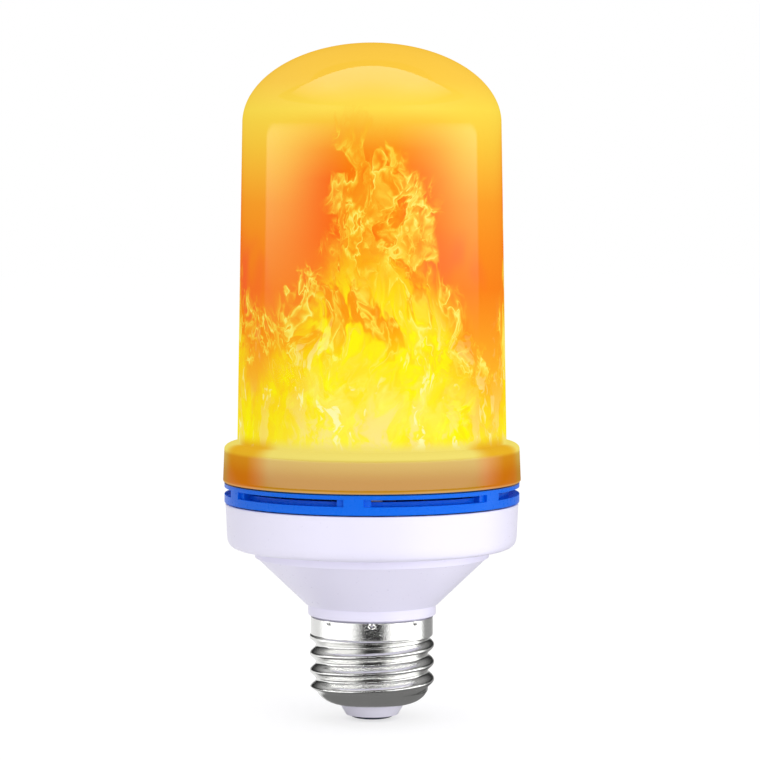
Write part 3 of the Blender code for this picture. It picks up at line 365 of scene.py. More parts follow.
def cell_mesh(name, angles, radii, heights, solid):
    """Skin of a body built from cells between angles, radii and heights.

    solid[i, j, k] says whether a cell is filled; the skin is each wall between a filled cell and an empty
    one, and a corner of it lies at x = r cos a, y = r sin a, z = h. The angles go once round.
    """
    turns, rings, levels = len(angles), len(radii), len(heights)
    index = np.arange(turns * rings * levels).reshape(turns, rings, levels)
    index = np.concatenate([index, index[:1]])
    filled = np.pad(solid, ((0, 0), (1, 1), (1, 1)))
    walls = []

    def add_walls(before, after, *corners):
        walls.append(np.stack(corners, -1)[before & ~after])
        walls.append(np.stack(corners[::-1], -1)[~before & after])

    across = filled[:, :, 1:-1]
    add_walls(
        across[:, :-1], across[:, 1:],
        index[:-1, :, :-1], index[1:, :, :-1], index[1:, :, 1:], index[:-1, :, 1:],
    )
    upright = filled[:, 1:-1, :]
    add_walls(
        upright[:, :, :-1], upright[:, :, 1:],
        index[:-1, :-1], index[:-1, 1:], index[1:, 1:], index[1:, :-1],
    )
    around = np.concatenate([solid[-1:], solid, solid[:1]])
    add_walls(
        around[:-2], around[1:-1],
        index[:-1, :-1, :-1], index[:-1, :-1, 1:], index[:-1, 1:, 1:], index[:-1, 1:, :-1],
    )
    used, quads = np.unique(np.concatenate(walls), return_inverse=True)
    a, r, z = np.meshgrid(angles, radii, heights, indexing="ij")
    return mesh_of(name, around_axis(r, z, a).reshape(-1, 3)[used], [quads.reshape(-1, 4)])


def placed(name, data):
    """A new object in the scene, at the origin, for a mesh, a lamp or a camera."""
    thing = bpy.data.objects.new(name, data)
    bpy.context.scene.collection.objects.link(thing)
    return thing


def add_piece(name, mesh, material, slot, *nodes):
    """Put a finished surface in the scene: it rides on the bulb and stands for its CAD nodes."""
    piece = placed(name, mesh)
    mesh.materials.append(material)
    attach(piece, BODY)
    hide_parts(*nodes)
    return piece


class Weave:
    """Adds nodes to one tree. Each call gives the new node's first output, to feed into the next."""

    def __init__(self, tree):
        self.tree = tree

    def feed(self, node, inputs):
        """Link each input of a node to a socket, or set it to a plain value."""
        for key, value in dict(inputs).items():
            socket = node.inputs[key]
            if isinstance(value, bpy.types.NodeSocket):
                self.tree.links.new(value, socket)
            else:
                socket.default_value = value

    def node(self, kind, inputs=(), output=0, **settings):
        node = self.tree.nodes.new(kind)
        for name, value in settings.items():
            setattr(node, name, value)
        self.feed(node, inputs)
        return node.outputs[output]

    def math(self, operation, *values, clamp=False):
        return self.node("ShaderNodeMath", enumerate(values), operation=operation, use_clamp=clamp)

    def times(self, first, *others):
        """The product of several values."""
        for other in others:
            first = self.math("MULTIPLY", first, other)
        return first

    def vector(self, operation, *values, **named):
        inputs = {**dict(enumerate(values)), **named}
        return self.node("ShaderNodeVectorMath", inputs, operation=operation)

    def place(self):
        """Where the point lies on its piece."""
        return self.node("ShaderNodeTexCoord", output=3)

    def around(self, place):
        """The point's turn about the axis, in radians from -Y towards +X, and its height."""
        x, y, z = self.node("ShaderNodeSeparateXYZ", {0: place}).node.outputs
        return self.math("ARCTAN2", x, self.times(y, -1.0)), z

    def stretched(self, vector, scale):
        return self.node("ShaderNodeMapping", {"Vector": vector, "Scale": scale})

    def noise(self, vector, scale, detail=2.0, roughness=0.5, output=0):
        inputs = {"Vector": vector, "Scale": scale, "Detail": detail, "Roughness": roughness}
        return self.node("ShaderNodeTexNoise", inputs, output)

    def band(self, value, low, high, bottom=0.0, top=1.0, smooth=True):
        """Maps a value between two limits, clamped outside them."""
        kind = "SMOOTHSTEP" if smooth else "LINEAR"
        inputs = {"Value": value, 1: low, 2: high, 3: bottom, 4: top}
        return self.node("ShaderNodeMapRange", inputs, interpolation_type=kind)

    def mix(self, factor, first, second, blend="MIX"):
        """Mixes two colours."""
        inputs = {0: factor}
        for key, value in ((6, first), (7, second)):
            inputs[key] = value if isinstance(value, bpy.types.NodeSocket) else (*value, 1.0)
        return self.node("ShaderNodeMix", inputs, 2, data_type="RGBA", blend_type=blend)

    def ramp(self, value, stops):
        """A colour for each value, from stops of position and red, green and blue display values."""
        output = self.node("ShaderNodeValToRGB", {0: value})
        elements = output.node.color_ramp.elements
        while len(elements) < len(stops):
            elements.new(0.5)
        for element, (position, *colour) in zip(elements, stops):
            element.position = position
            element.color = (*linear(*colour), 1.0)
        return output

    def bump(self, shader, height, strength, distance):
        """Let a height bump a shader's surface."""
        inputs = {"Strength": strength, "Distance": distance, "Height": height}
        self.feed(shader, {"Normal": self.node("ShaderNodeBump", inputs)})


def new_group(name, inputs, outputs):
    """A shader node group, from its inputs' defaults, each a number or a colour, and its outputs' kinds.

    Gives its weave, its inputs and its output node.
    """
    group = bpy.data.node_groups.new(name, "ShaderNodeTree")
    for label, default in inputs.items():
        kind = COLOUR if isinstance(default, tuple) else FLOAT
        socket = group.interface.new_socket(label, in_out="INPUT", socket_type=kind)
        socket.default_value = default
    for label, kind in outputs.items():
        group.interface.new_socket(label, in_out="OUTPUT", socket_type=kind)
    entry = group.nodes.new("NodeGroupInput")
    return Weave(group), entry.outputs, group.nodes.new("NodeGroupOutput")


def shared(name, build):
    """A node group, built the first time that it is asked for."""
    return bpy.data.node_groups.get(name) or build(name)


def finish_group(name, inputs):
    """A node group that puts out a finish's colour, gloss and height."""
    return new_group(name, inputs, {"Colour": COLOUR, "Gloss": FLOAT, "Height": FLOAT})


def moulded_group(name):
    """Moulded plastic: faint flow marks in the colour, fine grain in the gloss and the height."""
    inputs = {"Tint": (0.8, 0.8, 0.8, 1.0), "Roughness": 0.3, "Mottle": 0.05, "Grain": 1500.0}
    weave, entry, result = finish_group(name, inputs)
    place = weave.place()
    flow = weave.noise(weave.stretched(place, (1.0, 1.0, 0.35)), 140.0, 3.0)
    shade = weave.times(weave.math("SUBTRACT", flow, 0.5), entry["Mottle"])
    colour = weave.vector("SCALE", entry["Tint"], Scale=weave.math("ADD", 1.0, shade))
    grain = weave.noise(place, entry["Grain"])
    gloss = weave.times(entry["Roughness"], weave.band(grain, 0.25, 0.75, 0.85, 1.2))
    weave.feed(result, {"Colour": colour, "Gloss": gloss, "Height": grain})
    return weave.tree


def plated_group(name):
    """Bright metal: drawn streaks round the axis and a fine pebble, in gloss, height and tone."""
    inputs = {"Tint": (0.7, 0.7, 0.7, 1.0), "Roughness": 0.15, "Pebble": 3500.0, "Tarnish": 0.15}
    weave, entry, result = finish_group(name, inputs)
    place = weave.place()
    streak = weave.noise(weave.stretched(place, (1.0, 1.0, 14.0)), 160.0, 4.0, 0.6)
    pebble = weave.noise(place, entry["Pebble"], 2.0, 0.6)
    stain = weave.band(weave.noise(place, 220.0, 3.0), 0.35, 0.75)
    colour = weave.mix(weave.times(stain, entry["Tarnish"]), entry["Tint"], (0.25, 0.24, 0.22))
    gloss = weave.times(entry["Roughness"], weave.band(streak, 0.3, 0.7, 0.75, 1.35))
    height = weave.math("MULTIPLY_ADD", streak, 0.15, pebble)
    weave.feed(result, {"Colour": colour, "Gloss": gloss, "Height": height})
    return weave.tree


def new_material(name):
    """A material with its Principled shader and a weave for its nodes."""
    material = bpy.data.materials.new(name)
    material.use_nodes = True
    tree = material.node_tree
    return material, tree.nodes["Principled BSDF"], Weave(tree)


def grained(name, group, colour, bump, distance, uniform, **values):
    """A material from a finish group's own values and the values that are the same all over it."""
    material, shader, weave = new_material(name)
    inputs = {"Tint": (*colour, 1.0), **{key.capitalize(): value for key, value in values.items()}}
    outputs = weave.node("ShaderNodeGroup", inputs, node_tree=group).node.outputs
    weave.feed(shader, {"Base Color": outputs["Colour"], "Roughness": outputs["Gloss"], **uniform})
    weave.bump(shader, outputs["Height"], bump, distance)
    return material


def moulded(name, colour, roughness=0.3, mottle=0.05, grain=1500.0, bump=0.15, coat=0.0, specular=0.5):
    """A moulded plastic material."""
    group = shared("Moulded plastic", moulded_group)
    uniform = {"Coat Weight": coat, "Coat Roughness": 0.06, "Specular IOR Level": specular}
    values = {"roughness": roughness, "mottle": mottle, "grain": grain}
    return grained(name, group, colour, bump, 0.00003, uniform, **values)


def plated(name, colour, roughness=0.15, pebble=3500.0, tarnish=0.15, bump=0.2):
    """A bright metal material."""
    group = shared("Plated metal", plated_group)
    values = {"roughness": roughness, "pebble": pebble, "tarnish": tarnish}
    return grained(name, group, colour, bump, 0.00004, {"Metallic": 1.0}, **values)


def flame_group(name):
    """The flame picture as a colour.

    Two ramps over the height above the collar give the glow behind the flame, one for the plumes and one
    for the gaps between them, with a few redder embers. The flame stands where its ragged outline is higher
    than the point. Its layers lie over each other, the hotter ones further under the outline, and its curls
    are folds of noise: sharp on one side of the noise's middle value and fading out on the other. All that
    noise is read at places that larger noise has pushed about.
    """
    inputs = {"Foot": 0.06, "Top": 0.1426, "Plumes": 3.0, "Swirl": 0.012, "Ripple": 0.003}
    inputs |= {"Reach": 0.8, "Gap": 0.27}
    weave, entry, result = new_group(name, inputs, {"Colour": COLOUR})
    calc, times, band, noise = weave.math, weave.times, weave.band, weave.noise
    place = weave.place()
    turn, z = weave.around(place)
    cover_height = calc("SUBTRACT", entry["Top"], entry["Foot"])
    height = calc("DIVIDE", calc("SUBTRACT", z, entry["Foot"]), cover_height)
    drawn_out = weave.stretched(place, (1.0, 1.0, 0.7))

    def pushed(vector, scale, detail, distance):
        """A vector moved aside by a coloured noise, centred on zero, times a distance."""
        eddies = noise(vector, scale, detail, 0.55, output=1)
        centred = weave.vector("SUBTRACT", eddies, (0.5, 0.5, 0.5))
        return weave.vector("ADD", vector, weave.vector("SCALE", centred, Scale=distance))

    def centred_noise(vector, scale, detail, size, roughness=0.55):
        """A noise about zero, times a size."""
        return times(calc("SUBTRACT", noise(vector, scale, detail, roughness), 0.5), size)

    swirled = pushed(drawn_out, 46.0, 1.5, entry["Swirl"])
    swirled = pushed(swirled, 120.0, 1.5, times(entry["Swirl"], 0.45))
    rippled = pushed(swirled, 240.0, 2.0, entry["Ripple"])
    rippled = pushed(rippled, 650.0, 1.5, times(entry["Ripple"], 0.32))
    upright = weave.stretched(rippled, (1.0, 1.0, 0.45))

    sway = centred_noise(drawn_out, 36.0, 2.0, 2.4)
    wander = calc("ADD", turn, times(sway, height))
    plume = band(calc("COSINE", times(wander, entry["Plumes"])), -1.0, 1.0, smooth=False)
    rise = times(plume, calc("SUBTRACT", entry["Reach"], entry["Gap"]))
    ragged = centred_noise(rippled, 64.0, 5.0, 0.62, 0.6)
    tip = calc("ADD", calc("ADD", entry["Gap"], rise), ragged)
    tip = calc("MINIMUM", tip, calc("ADD", entry["Reach"], 0.02))
    under = calc("SUBTRACT", tip, height)

    at, inside = partial(band, height), partial(band, under)

    def patches(vector, scale, detail, roughness, *limits):
        """Soft patches, where a noise is high."""
        return band(noise(vector, scale, detail, roughness), *limits)

    curls = 0.0
    for scale, detail, fade, strength in (
        (64.0, 3.0, 0.11, 0.9),
        (120.0, 3.0, 0.12, 1.0),
        (230.0, 2.0, 0.13, 1.0),
        (400.0, 2.0, 0.16, 0.8),
    ):
        crumpled = noise(rippled, scale, detail)
        sharp = band(crumpled, 0.49 - 0.00016 * scale, 0.5, smooth=False)
        faded = calc("POWER", band(crumpled, 0.5, 0.5 + fade, 1.0, 0.0, smooth=False), 1.5)
        strong = patches(swirled, 0.7 * scale, 1.0, 0.5, 0.42, 0.58, 0.06, 1.0)
        curls = calc("MAXIMUM", curls, times(sharp, faded, strong, strength))
    fibres = patches(upright, 330.0, 4.0, 0.65, 0.38, 0.56, 0.5, 1.0)
    curls = times(curls, inside(-0.05, 0.05), at(0.04, 0.24, 0.25, 1.0), fibres)

    behind_gap = weave.ramp(
        height,
        [
            (0.00, 244, 216, 92), (0.08, 251, 198, 50), (0.20, 252, 170, 42), (0.39, 252, 132, 28),
            (0.50, 253, 144, 34), (0.60, 253, 160, 42), (0.74, 253, 202, 62), (0.83, 254, 221, 76),
            (0.90, 253, 205, 68), (1.00, 252, 199, 58),
        ],
    )
    behind_plume = weave.ramp(
        height,
        [
            (0.20, 253, 176, 44), (0.38, 253, 130, 24), (0.52, 252, 110, 12), (0.66, 251, 108, 8),
            (0.73, 251, 144, 28), (0.79, 252, 192, 56), (0.83, 254, 222, 78), (0.90, 253, 205, 68),
            (1.00, 252, 199, 58),
        ],
    )
    broad = calc("COSINE", times(turn, entry["Plumes"]))
    broad = calc("ADD", broad, centred_noise(drawn_out, 30.0, 1.0, 1.2))
    colour = weave.mix(band(broad, -0.9, 0.7), behind_gap, behind_plume)

    texture = patches(rippled, 110.0, 5.0, 0.62, 0.32, 0.68)

    def grainy(spread, least):
        """The texture, from a least value up by a spread."""
        return calc("MULTIPLY_ADD", texture, spread, least)

    embers = times(patches(swirled, 46.0, 2.0, 0.5, 0.52, 0.66), at(0.26, 0.36), at(0.44, 0.56, 0.7, 0.0))
    haze = times(inside(0.02, 0.24), grainy(0.8, 0.05))
    core = times(inside(0.14, 0.44), grainy(0.7, 0.3))
    low = times(at(0.05, 0.31, 1.0, 0.0), calc("MULTIPLY_ADD", plume, 0.6, 0.2))
    blaze = times(inside(0.06, 0.28), at(0.3, 0.52, 1.0, 0.0))
    blaze = times(calc("MAXIMUM", blaze, low), grainy(0.4, 0.6))
    pale = patches(rippled, 90.0, 4.0, 0.6, 0.44, 0.6)
    pale = times(pale, inside(0.3, 0.5), at(0.02, 0.18, 0.25, 1.0), at(0.42, 0.62, 1.0, 0.4))
    pockets = patches(rippled, 140.0, 3.0, 0.55, 0.49, 0.58)
    pockets = times(pockets, inside(0.0, 0.1), at(0.18, 0.34, 0.15, 1.0), at(0.04, 0.2))
    hot = weave.ramp(
        curls, [(0.0, 253, 152, 26), (0.35, 253, 192, 42), (0.7, 253, 224, 70), (1.0, 254, 246, 120)]
    )
    hot = weave.mix(times(inside(0.25, 0.55), 0.5), hot, linear(254, 250, 84))
    cream = patches(upright, 190.0, 4.0, 0.6, 0.5, 0.6)
    cream = times(cream, at(0.0, 0.2, 0.8, 0.0), calc("MULTIPLY_ADD", plume, 0.5, 0.5))
    sparks = patches(upright, 260.0, 3.0, 0.6, 0.58, 0.64)
    sparks = times(sparks, at(0.02, 0.4, 1.0, 0.0), inside(0.05, 0.35, 0.25, 1.0))
    for share, strength, top in (
        (embers, 1.0, linear(253, 94, 52)),
        (haze, 0.8, linear(253, 172, 38)),
        (core, 0.9, linear(254, 206, 32)),
        (blaze, 1.0, linear(254, 250, 16)),
        (pale, 0.9, linear(254, 252, 118)),
        (pockets, 0.85, linear(252, 134, 20)),
        (calc("POWER", curls, 0.8), 1.0, hot),
        (cream, 1.0, linear(251, 230, 150)),
        (sparks, 1.0, linear(254, 250, 176)),
    ):
        colour = weave.mix(calc("MULTIPLY", share, strength, clamp=True), colour, top)
    weave.feed(result, {"Colour": colour})
    return weave.tree


def cover_material(cover, flame, foot, top):
    """Milky plastic lit from behind by the flame picture, with a plain collar and a clear gloss.

    The glow is painted into the base colour as well: the base colour is the picture times the share that is
    not given off as light, though the unlit cover is milky white. The collar and its shoulder carry painted
    light of the flame in the same way: they glow with that share, though nothing lights them from behind,
    and they are brighter under a tongue of flame than between two.
    """
    material, shader, weave = new_material("milky_cover_flame")
    values = {"Foot": foot, "Top": top, "Plumes": float(flame.plumes)}
    for key in ("swirl", "ripple", "reach", "gap"):
        values[key.capitalize()] = getattr(flame, key)
    picture = weave.node("ShaderNodeGroup", values, node_tree=shared("Flame picture", flame_group))
    turn, z = weave.around(weave.place())
    tongues = weave.math("COSINE", weave.times(turn, float(flame.plumes)))
    lit = weave.band(tongues, -0.95, -0.55)
    collar = weave.mix(lit, cover.collar_dim, cover.collar_tint)
    shoulder = weave.mix(lit, cover.shoulder_flame_glow_dim, cover.shoulder_flame_glow)
    collar_foot = foot - cover.collar_height
    shoulder_foot = foot - 0.0021
    # painted highlight: the collar's thin lower edge is lightened, as if it caught the light
    edge = weave.band(z, collar_foot + 0.0002, collar_foot + 0.0006, 0.4, 0.0)
    collar = weave.mix(edge, collar, cover.collar_edge_highlight)
    # painted light of the flame: the shoulder's yellow runs part way down the collar's side, lightest at the
    # top, then covers the shoulder
    collar = weave.mix(weave.band(z, collar_foot + 0.002, foot - 0.0014, 0.0, 0.35), collar, shoulder)
    collar = weave.mix(weave.band(z, shoulder_foot, foot - 0.0011), collar, shoulder)
    colour = weave.mix(weave.band(z, foot - 0.0002, foot + 0.0026), collar, picture)
    # The share of the picture's colour painted into the base colour, beside the share given off as light.
    painted_glow_share = (1.0 - flame.glow,) * 3
    coat = 0.12
    side_coat = weave.band(z, shoulder_foot, foot - 0.0009, coat, 0.0)
    tube_coat = weave.band(z, foot + 0.012, foot + 0.04, 0.0, coat)
    inputs = {
        # painted light: the base colour carries the flame picture's glow, which the milky cover only shows
        # while it is lit
        "Base Color": weave.mix(1.0, colour, painted_glow_share, "MULTIPLY"),
        "Emission Color": colour,
        "Emission Strength": flame.glow,
        "Roughness": 0.4,
        "Specular IOR Level": 0.0,
        "Coat Weight": weave.math("MAXIMUM", side_coat, tube_coat),
        "Coat IOR": 2.4,
        "Coat Roughness": 0.04,
    }
    weave.feed(shader, inputs)
    return material


def cover_outline(cover, radius, foot, top):
    """The cover's outer line from the dome's pole down to the collar's foot, and its inner line back up."""
    wall = cover.wall
    tube_foot_z = foot + cover.collar_height
    dome_z = top - cover.dome_height
    collar_top = radius - cover.collar_draft
    tube_foot = collar_top - cover.shelf
    tube_top = tube_foot - cover.draft
    shoulder_z = tube_foot_z - cover.corner_height
    corner_r = collar_top - cover.corner_width
    dome = ellipse((0.0, dome_z), (tube_top, cover.dome_height), 90, 0, 56)
    corner = ellipse((corner_r, shoulder_z), (cover.corner_width, cover.corner_height), 90, 0, 12)
    valley = softened([(tube_top, dome_z, 0), (tube_foot, tube_foot_z, 0.00025), (corner_r, tube_foot_z, 0)])
    edge = softened(
        [
            (collar_top, shoulder_z, 0),
            (radius, foot, 0.0004),
            (radius - wall, foot, 0.0002),
            (collar_top - wall, shoulder_z - wall, 0.0004),
            (corner_r, tube_foot_z - wall, 0.0004),
            (tube_foot - wall, tube_foot_z - wall, 0.0004),
            (tube_top - wall, dome_z, 0),
        ]
    )
    inner = ellipse((0.0, dome_z), (tube_top - wall, cover.dome_height - wall), 0, 90, 28)
    outer = spaced(np.vstack([dome, valley[1:-1], corner, edge[1:]]), FACET)
    line = np.vstack([outer, inner[1:]])
    line[[0, -1], 0] = 0.0
    return line


class FLAMEBULB_OT_cover(bpy.types.Operator):
    """Build the milky cover with its flame picture"""

    bl_idname = "flame_bulb.cover"
    bl_label = "Milky cover"

    def execute(self, context):
        cover = context.scene.flame_bulb_cover
        radius, foot, top = extent("diffuser")
        skin = turned_skin(cover_outline(cover, radius, foot, top), cover.segments)
        material = cover_material(cover, context.scene.flame_bulb_flame, foot + cover.collar_height, top)
        add_piece("milky_cover", turned_mesh("milky_cover", skin), material, "milky_cover", "diffuser")
        return {"FINISHED"}


def housing_outline(housing, cap):
    """The housing's section: drum, lip, cone, neck and spigot outside, then the bore and the drum inside.

    Gives the height of the drum's floor and the closed outline.
    """
    drum_radius, foot, _ = extent("base_housing")
    crest, _, shell_top = extent("screw_shell")
    wall, gap = housing.wall, cap.insulator_gap
    backing = cap.sheet + gap
    rim = crest - cap.rim_inset
    neck_z = shell_top + gap
    cone_z = neck_z + housing.neck_height
    lip_z = cone_z + housing.cone_height
    drum_z = lip_z + housing.lip_height
    floor_z = drum_z + wall
    drum_top = drum_z + housing.drum_height
    neck = rim + housing.neck_step
    cone_foot = neck + housing.cone_step
    drum_foot = drum_radius - housing.drum_draft
    lip = drum_foot - housing.lip_inset
    cone_top = lip - housing.lip_step
    spigot = crest - cap.thread_depth - backing
    bore = spigot - housing.spigot_wall
    slope = (cone_top - cone_foot) / housing.cone_height
    across = wall * math.sqrt(1 + slope**2)
    lip_bore = lip - wall
    band_foot = shell_top - cap.rim_height + gap
    corners = [
        (drum_radius, drum_top, 0.0003),
        (drum_foot, drum_z, housing.drum_corner),
        (lip, drum_z, 0.00018),
        (lip, lip_z, 0.00022),
        (cone_top, lip_z, 0.0001),
        (cone_foot, cone_z, 0.00015),
        (neck, cone_z, 0.00015),
        (neck, neck_z, 0.00035),
        (rim - backing, neck_z, 0.0001),
        (rim - backing, band_foot, 0.0002),
        (spigot, band_foot, 0.0001),
        (spigot, foot, 0.0004),
        (bore, foot, 0.0002),
        (bore, cone_z + (bore + across - cone_foot) / slope, 0.0006),
        (lip_bore, cone_z + (lip_bore + across - cone_foot) / slope, 0.0006),
        (lip_bore, floor_z, 0.0003),
        (drum_foot - wall, floor_z, 0.0006),
        (drum_radius - wall, drum_top, 0.0003),
    ]
    return floor_z, spaced(softened([corners[-1], *corners, corners[0]], 6), 0.0012)


class FLAMEBULB_OT_housing(bpy.types.Operator):
    """Build the white housing with its screw posts"""

    bl_idname = "flame_bulb.housing"
    bl_label = "Base housing"

    def execute(self, context):
        housing = context.scene.flame_bulb_housing
        drum_radius, _, post_top = extent("base_housing")
        floor_z, outline = housing_outline(housing, context.scene.flame_bulb_cap)
        post = self.post(housing, floor_z - housing.wall / 2, post_top)
        circle = drum_radius - housing.drum_draft - housing.post_inset
        skins = [turned_skin(outline[:-1], housing.segments, closed=True)]
        for a in np.radians([30, 150, 270]):
            skins.append(turned_skin(post, segments=32, middle=(circle * np.cos(a), circle * np.sin(a))))
        material = moulded("white_plastic_moulded", housing.colour, roughness=0.32, mottle=0.015, bump=0.012)
        mesh = turned_mesh("white_housing", *skins)
        add_piece("white_housing", mesh, material, "white_plastic", "base_housing")
        return {"FINISHED"}

    def post(self, housing, foot, top):
        """The outline of a hollow post, whose foot is sunk half a wall into the floor."""
        return [
            (0.0, top - housing.post_depth),
            (housing.post_bore, top - housing.post_depth),
            (housing.post_bore, top),
            (housing.post_radius, top),
            (housing.post_radius, foot),
            (0.0, foot),
        ]


class FLAMEBULB_OT_vent_ring(bpy.types.Operator):
    """Build the blue vent ring with its slots"""

    bl_idname = "flame_bulb.vent_ring"
    bl_label = "Vent ring"

    def execute(self, context):
        ring = context.scene.flame_bulb_ring
        mesh = cell_mesh("blue_vent_ring", *self.cells(ring))
        material = moulded("blue_plastic_moulded", ring.colour, bump=0.02, specular=0.15)
        piece = add_piece("blue_vent_ring", mesh, material, "blue_plastic", "vent_ring")
        bevel = piece.modifiers.new("softened edges", "BEVEL")
        bevel.width = ring.edge
        bevel.segments = 2
        bevel.limit_method = "ANGLE"
        bevel.angle_limit = math.radians(50)
        bevel.harden_normals = True
        return {"FINISHED"}

    def cells(self, ring):
        """The ring's grid lines and its filled cells, from the slots' angles, depths and heights."""
        radius, spigot_foot, rim_top = extent("vent_ring")
        top = rim_top - ring.rim_height
        foot = top - ring.height
        slot_foot = foot + ring.slot_floor
        slot_top = slot_foot + ring.slot_height
        vent_foot = slot_top - ring.vent
        bore = radius - ring.width
        rim_outer = radius - ring.rim_inset
        rim_bore = rim_outer - ring.rim_wall
        pocket = radius - ring.slot_depth
        recess = radius - ring.recess
        heights = np.array([spigot_foot, foot, slot_foot, vent_foot, slot_top, top, rim_top])
        radii = np.array(
            [radius - ring.spigot_bore_inset, bore, rim_bore, pocket, rim_outer, recess, radius]
        )
        period = 2 * math.pi / ring.slots
        web, pillar = ring.web / 2, ring.pillar / 2
        behind_web = np.linspace(web, pillar, 3)[1:]
        slot = np.linspace(pillar, period - pillar, 30)[1:]
        one = np.concatenate([np.linspace(-web, web, 5), behind_web, slot, period - behind_web[:1]])
        angles = (ring.first_web + one + period * np.arange(ring.slots)[:, None]).ravel()
        middle = one + np.diff(np.append(one, one[0] + period)) / 2
        middle = np.tile(middle, ring.slots)[:, None, None]
        r = ((radii[:-1] + radii[1:]) / 2)[None, :, None]
        z = ((heights[:-1] + heights[1:]) / 2)[None, None, :]
        in_slot = (middle > web) & (middle < period - web)
        in_pocket = (middle > pillar) & (middle < period - pillar)
        band = (z > foot) & (z < top) & (r > bore)
        spigot = (z < foot) & (r < pocket)
        rim = (z > top) & (r > rim_bore) & (r < rim_outer)
        cut = (in_slot & (r > recess)) | (in_pocket & ((r > pocket) | (z > vent_foot)))
        solid = (band | spigot | rim) & ~(cut & (z > slot_foot) & (z < slot_top))
        return angles, radii, heights, solid


def shell_outline(cap, crest, foot, top):
    """The screw shell's plain line: rim, slope, thread's root and bowl, down to the hole at its foot."""
    root = crest - cap.thread_depth
    rim = crest - cap.rim_inset
    rim_foot = top - cap.rim_height
    bowl_top = foot + cap.bowl_height
    upper = softened(
        [
            (rim - 0.0001, top, 0),
            (rim, top - 0.0001, 0.0001),
            (rim, rim_foot, 0.0004),
            (root, rim_foot - cap.rim_step, 0.0004),
            (root, bowl_top, 0),
        ],
        7,
    )
    bowl = ellipse((cap.hole_radius, bowl_top), (root - cap.hole_radius, cap.bowl_height), 0, -90, 26)
    return spaced(np.vstack([upper, bowl[1:]]), 0.00014)


def shell_mesh(cap):
    """The screw shell's sheet as a grid over angle and outline.

    The thread pushes a point out by depth * (1 + cos(2 pi (h - crest height) / pitch)) / 2, where the crest
    climbs one pitch a turn, faded out over the bowl and under the rim. A punch mark pulls the rim in by
    depth * exp(-d^2).
    """
    crest, foot, top = extent("screw_shell")
    outline = shell_outline(cap, crest, foot, top)
    radius, height = outline[:, :1], outline[:, 1:]
    a = 2 * np.pi * np.arange(cap.segments) / cap.segments
    a = np.where(a > np.pi, a - 2 * np.pi, a)
    climb = foot + cap.phase + cap.pitch * a / (2 * np.pi)
    wave = (1 + np.cos(2 * np.pi * (height - climb) / cap.pitch)) / 2
    rise = np.clip((height - (foot + cap.bowl_height - cap.fade)) / cap.fade, 0.0, 1.0)
    run_out = np.clip((top - cap.rim_height + 0.0002 - height) / cap.rim_fade, 0.0, 1.0)
    swollen = radius + cap.thread_depth * wave * rise * run_out
    pushed = np.minimum(swollen, np.maximum(radius, crest))
    places = np.radians(-90.0 + 360.0 * np.arange(cap.marks) / cap.marks)[:, None, None]
    gap = np.abs((a - places + np.pi) % (2 * np.pi) - np.pi) * crest
    drop = height - (top - cap.mark_drop)
    pushed -= cap.mark_depth * np.exp(-(gap**2 + drop**2) / cap.mark_radius**2).sum(axis=0)
    index = np.arange(pushed.size).reshape(pushed.shape)
    points = around_axis(pushed, height, a).reshape(-1, 3)
    return mesh_of("nickel_screw_shell", points, [ring_quads(index)])


class FLAMEBULB_OT_screw_shell(bpy.types.Operator):
    """Build the nickel-plated screw shell with its rolled thread"""

    bl_idname = "flame_bulb.screw_shell"
    bl_label = "Screw shell"

    def execute(self, context):
        cap = context.scene.flame_bulb_cap
        material = plated(
            "nickel_plate_bright", cap.nickel, roughness=0.13, pebble=2400.0, tarnish=0.04, bump=0.9
        )
        piece = add_piece("nickel_screw_shell", shell_mesh(cap), material, "nickel_plate", "screw_shell")
        wall = piece.modifiers.new("sheet", "SOLIDIFY")
        wall.thickness = cap.sheet
        wall.offset = -1.0
        return {"FINISHED"}


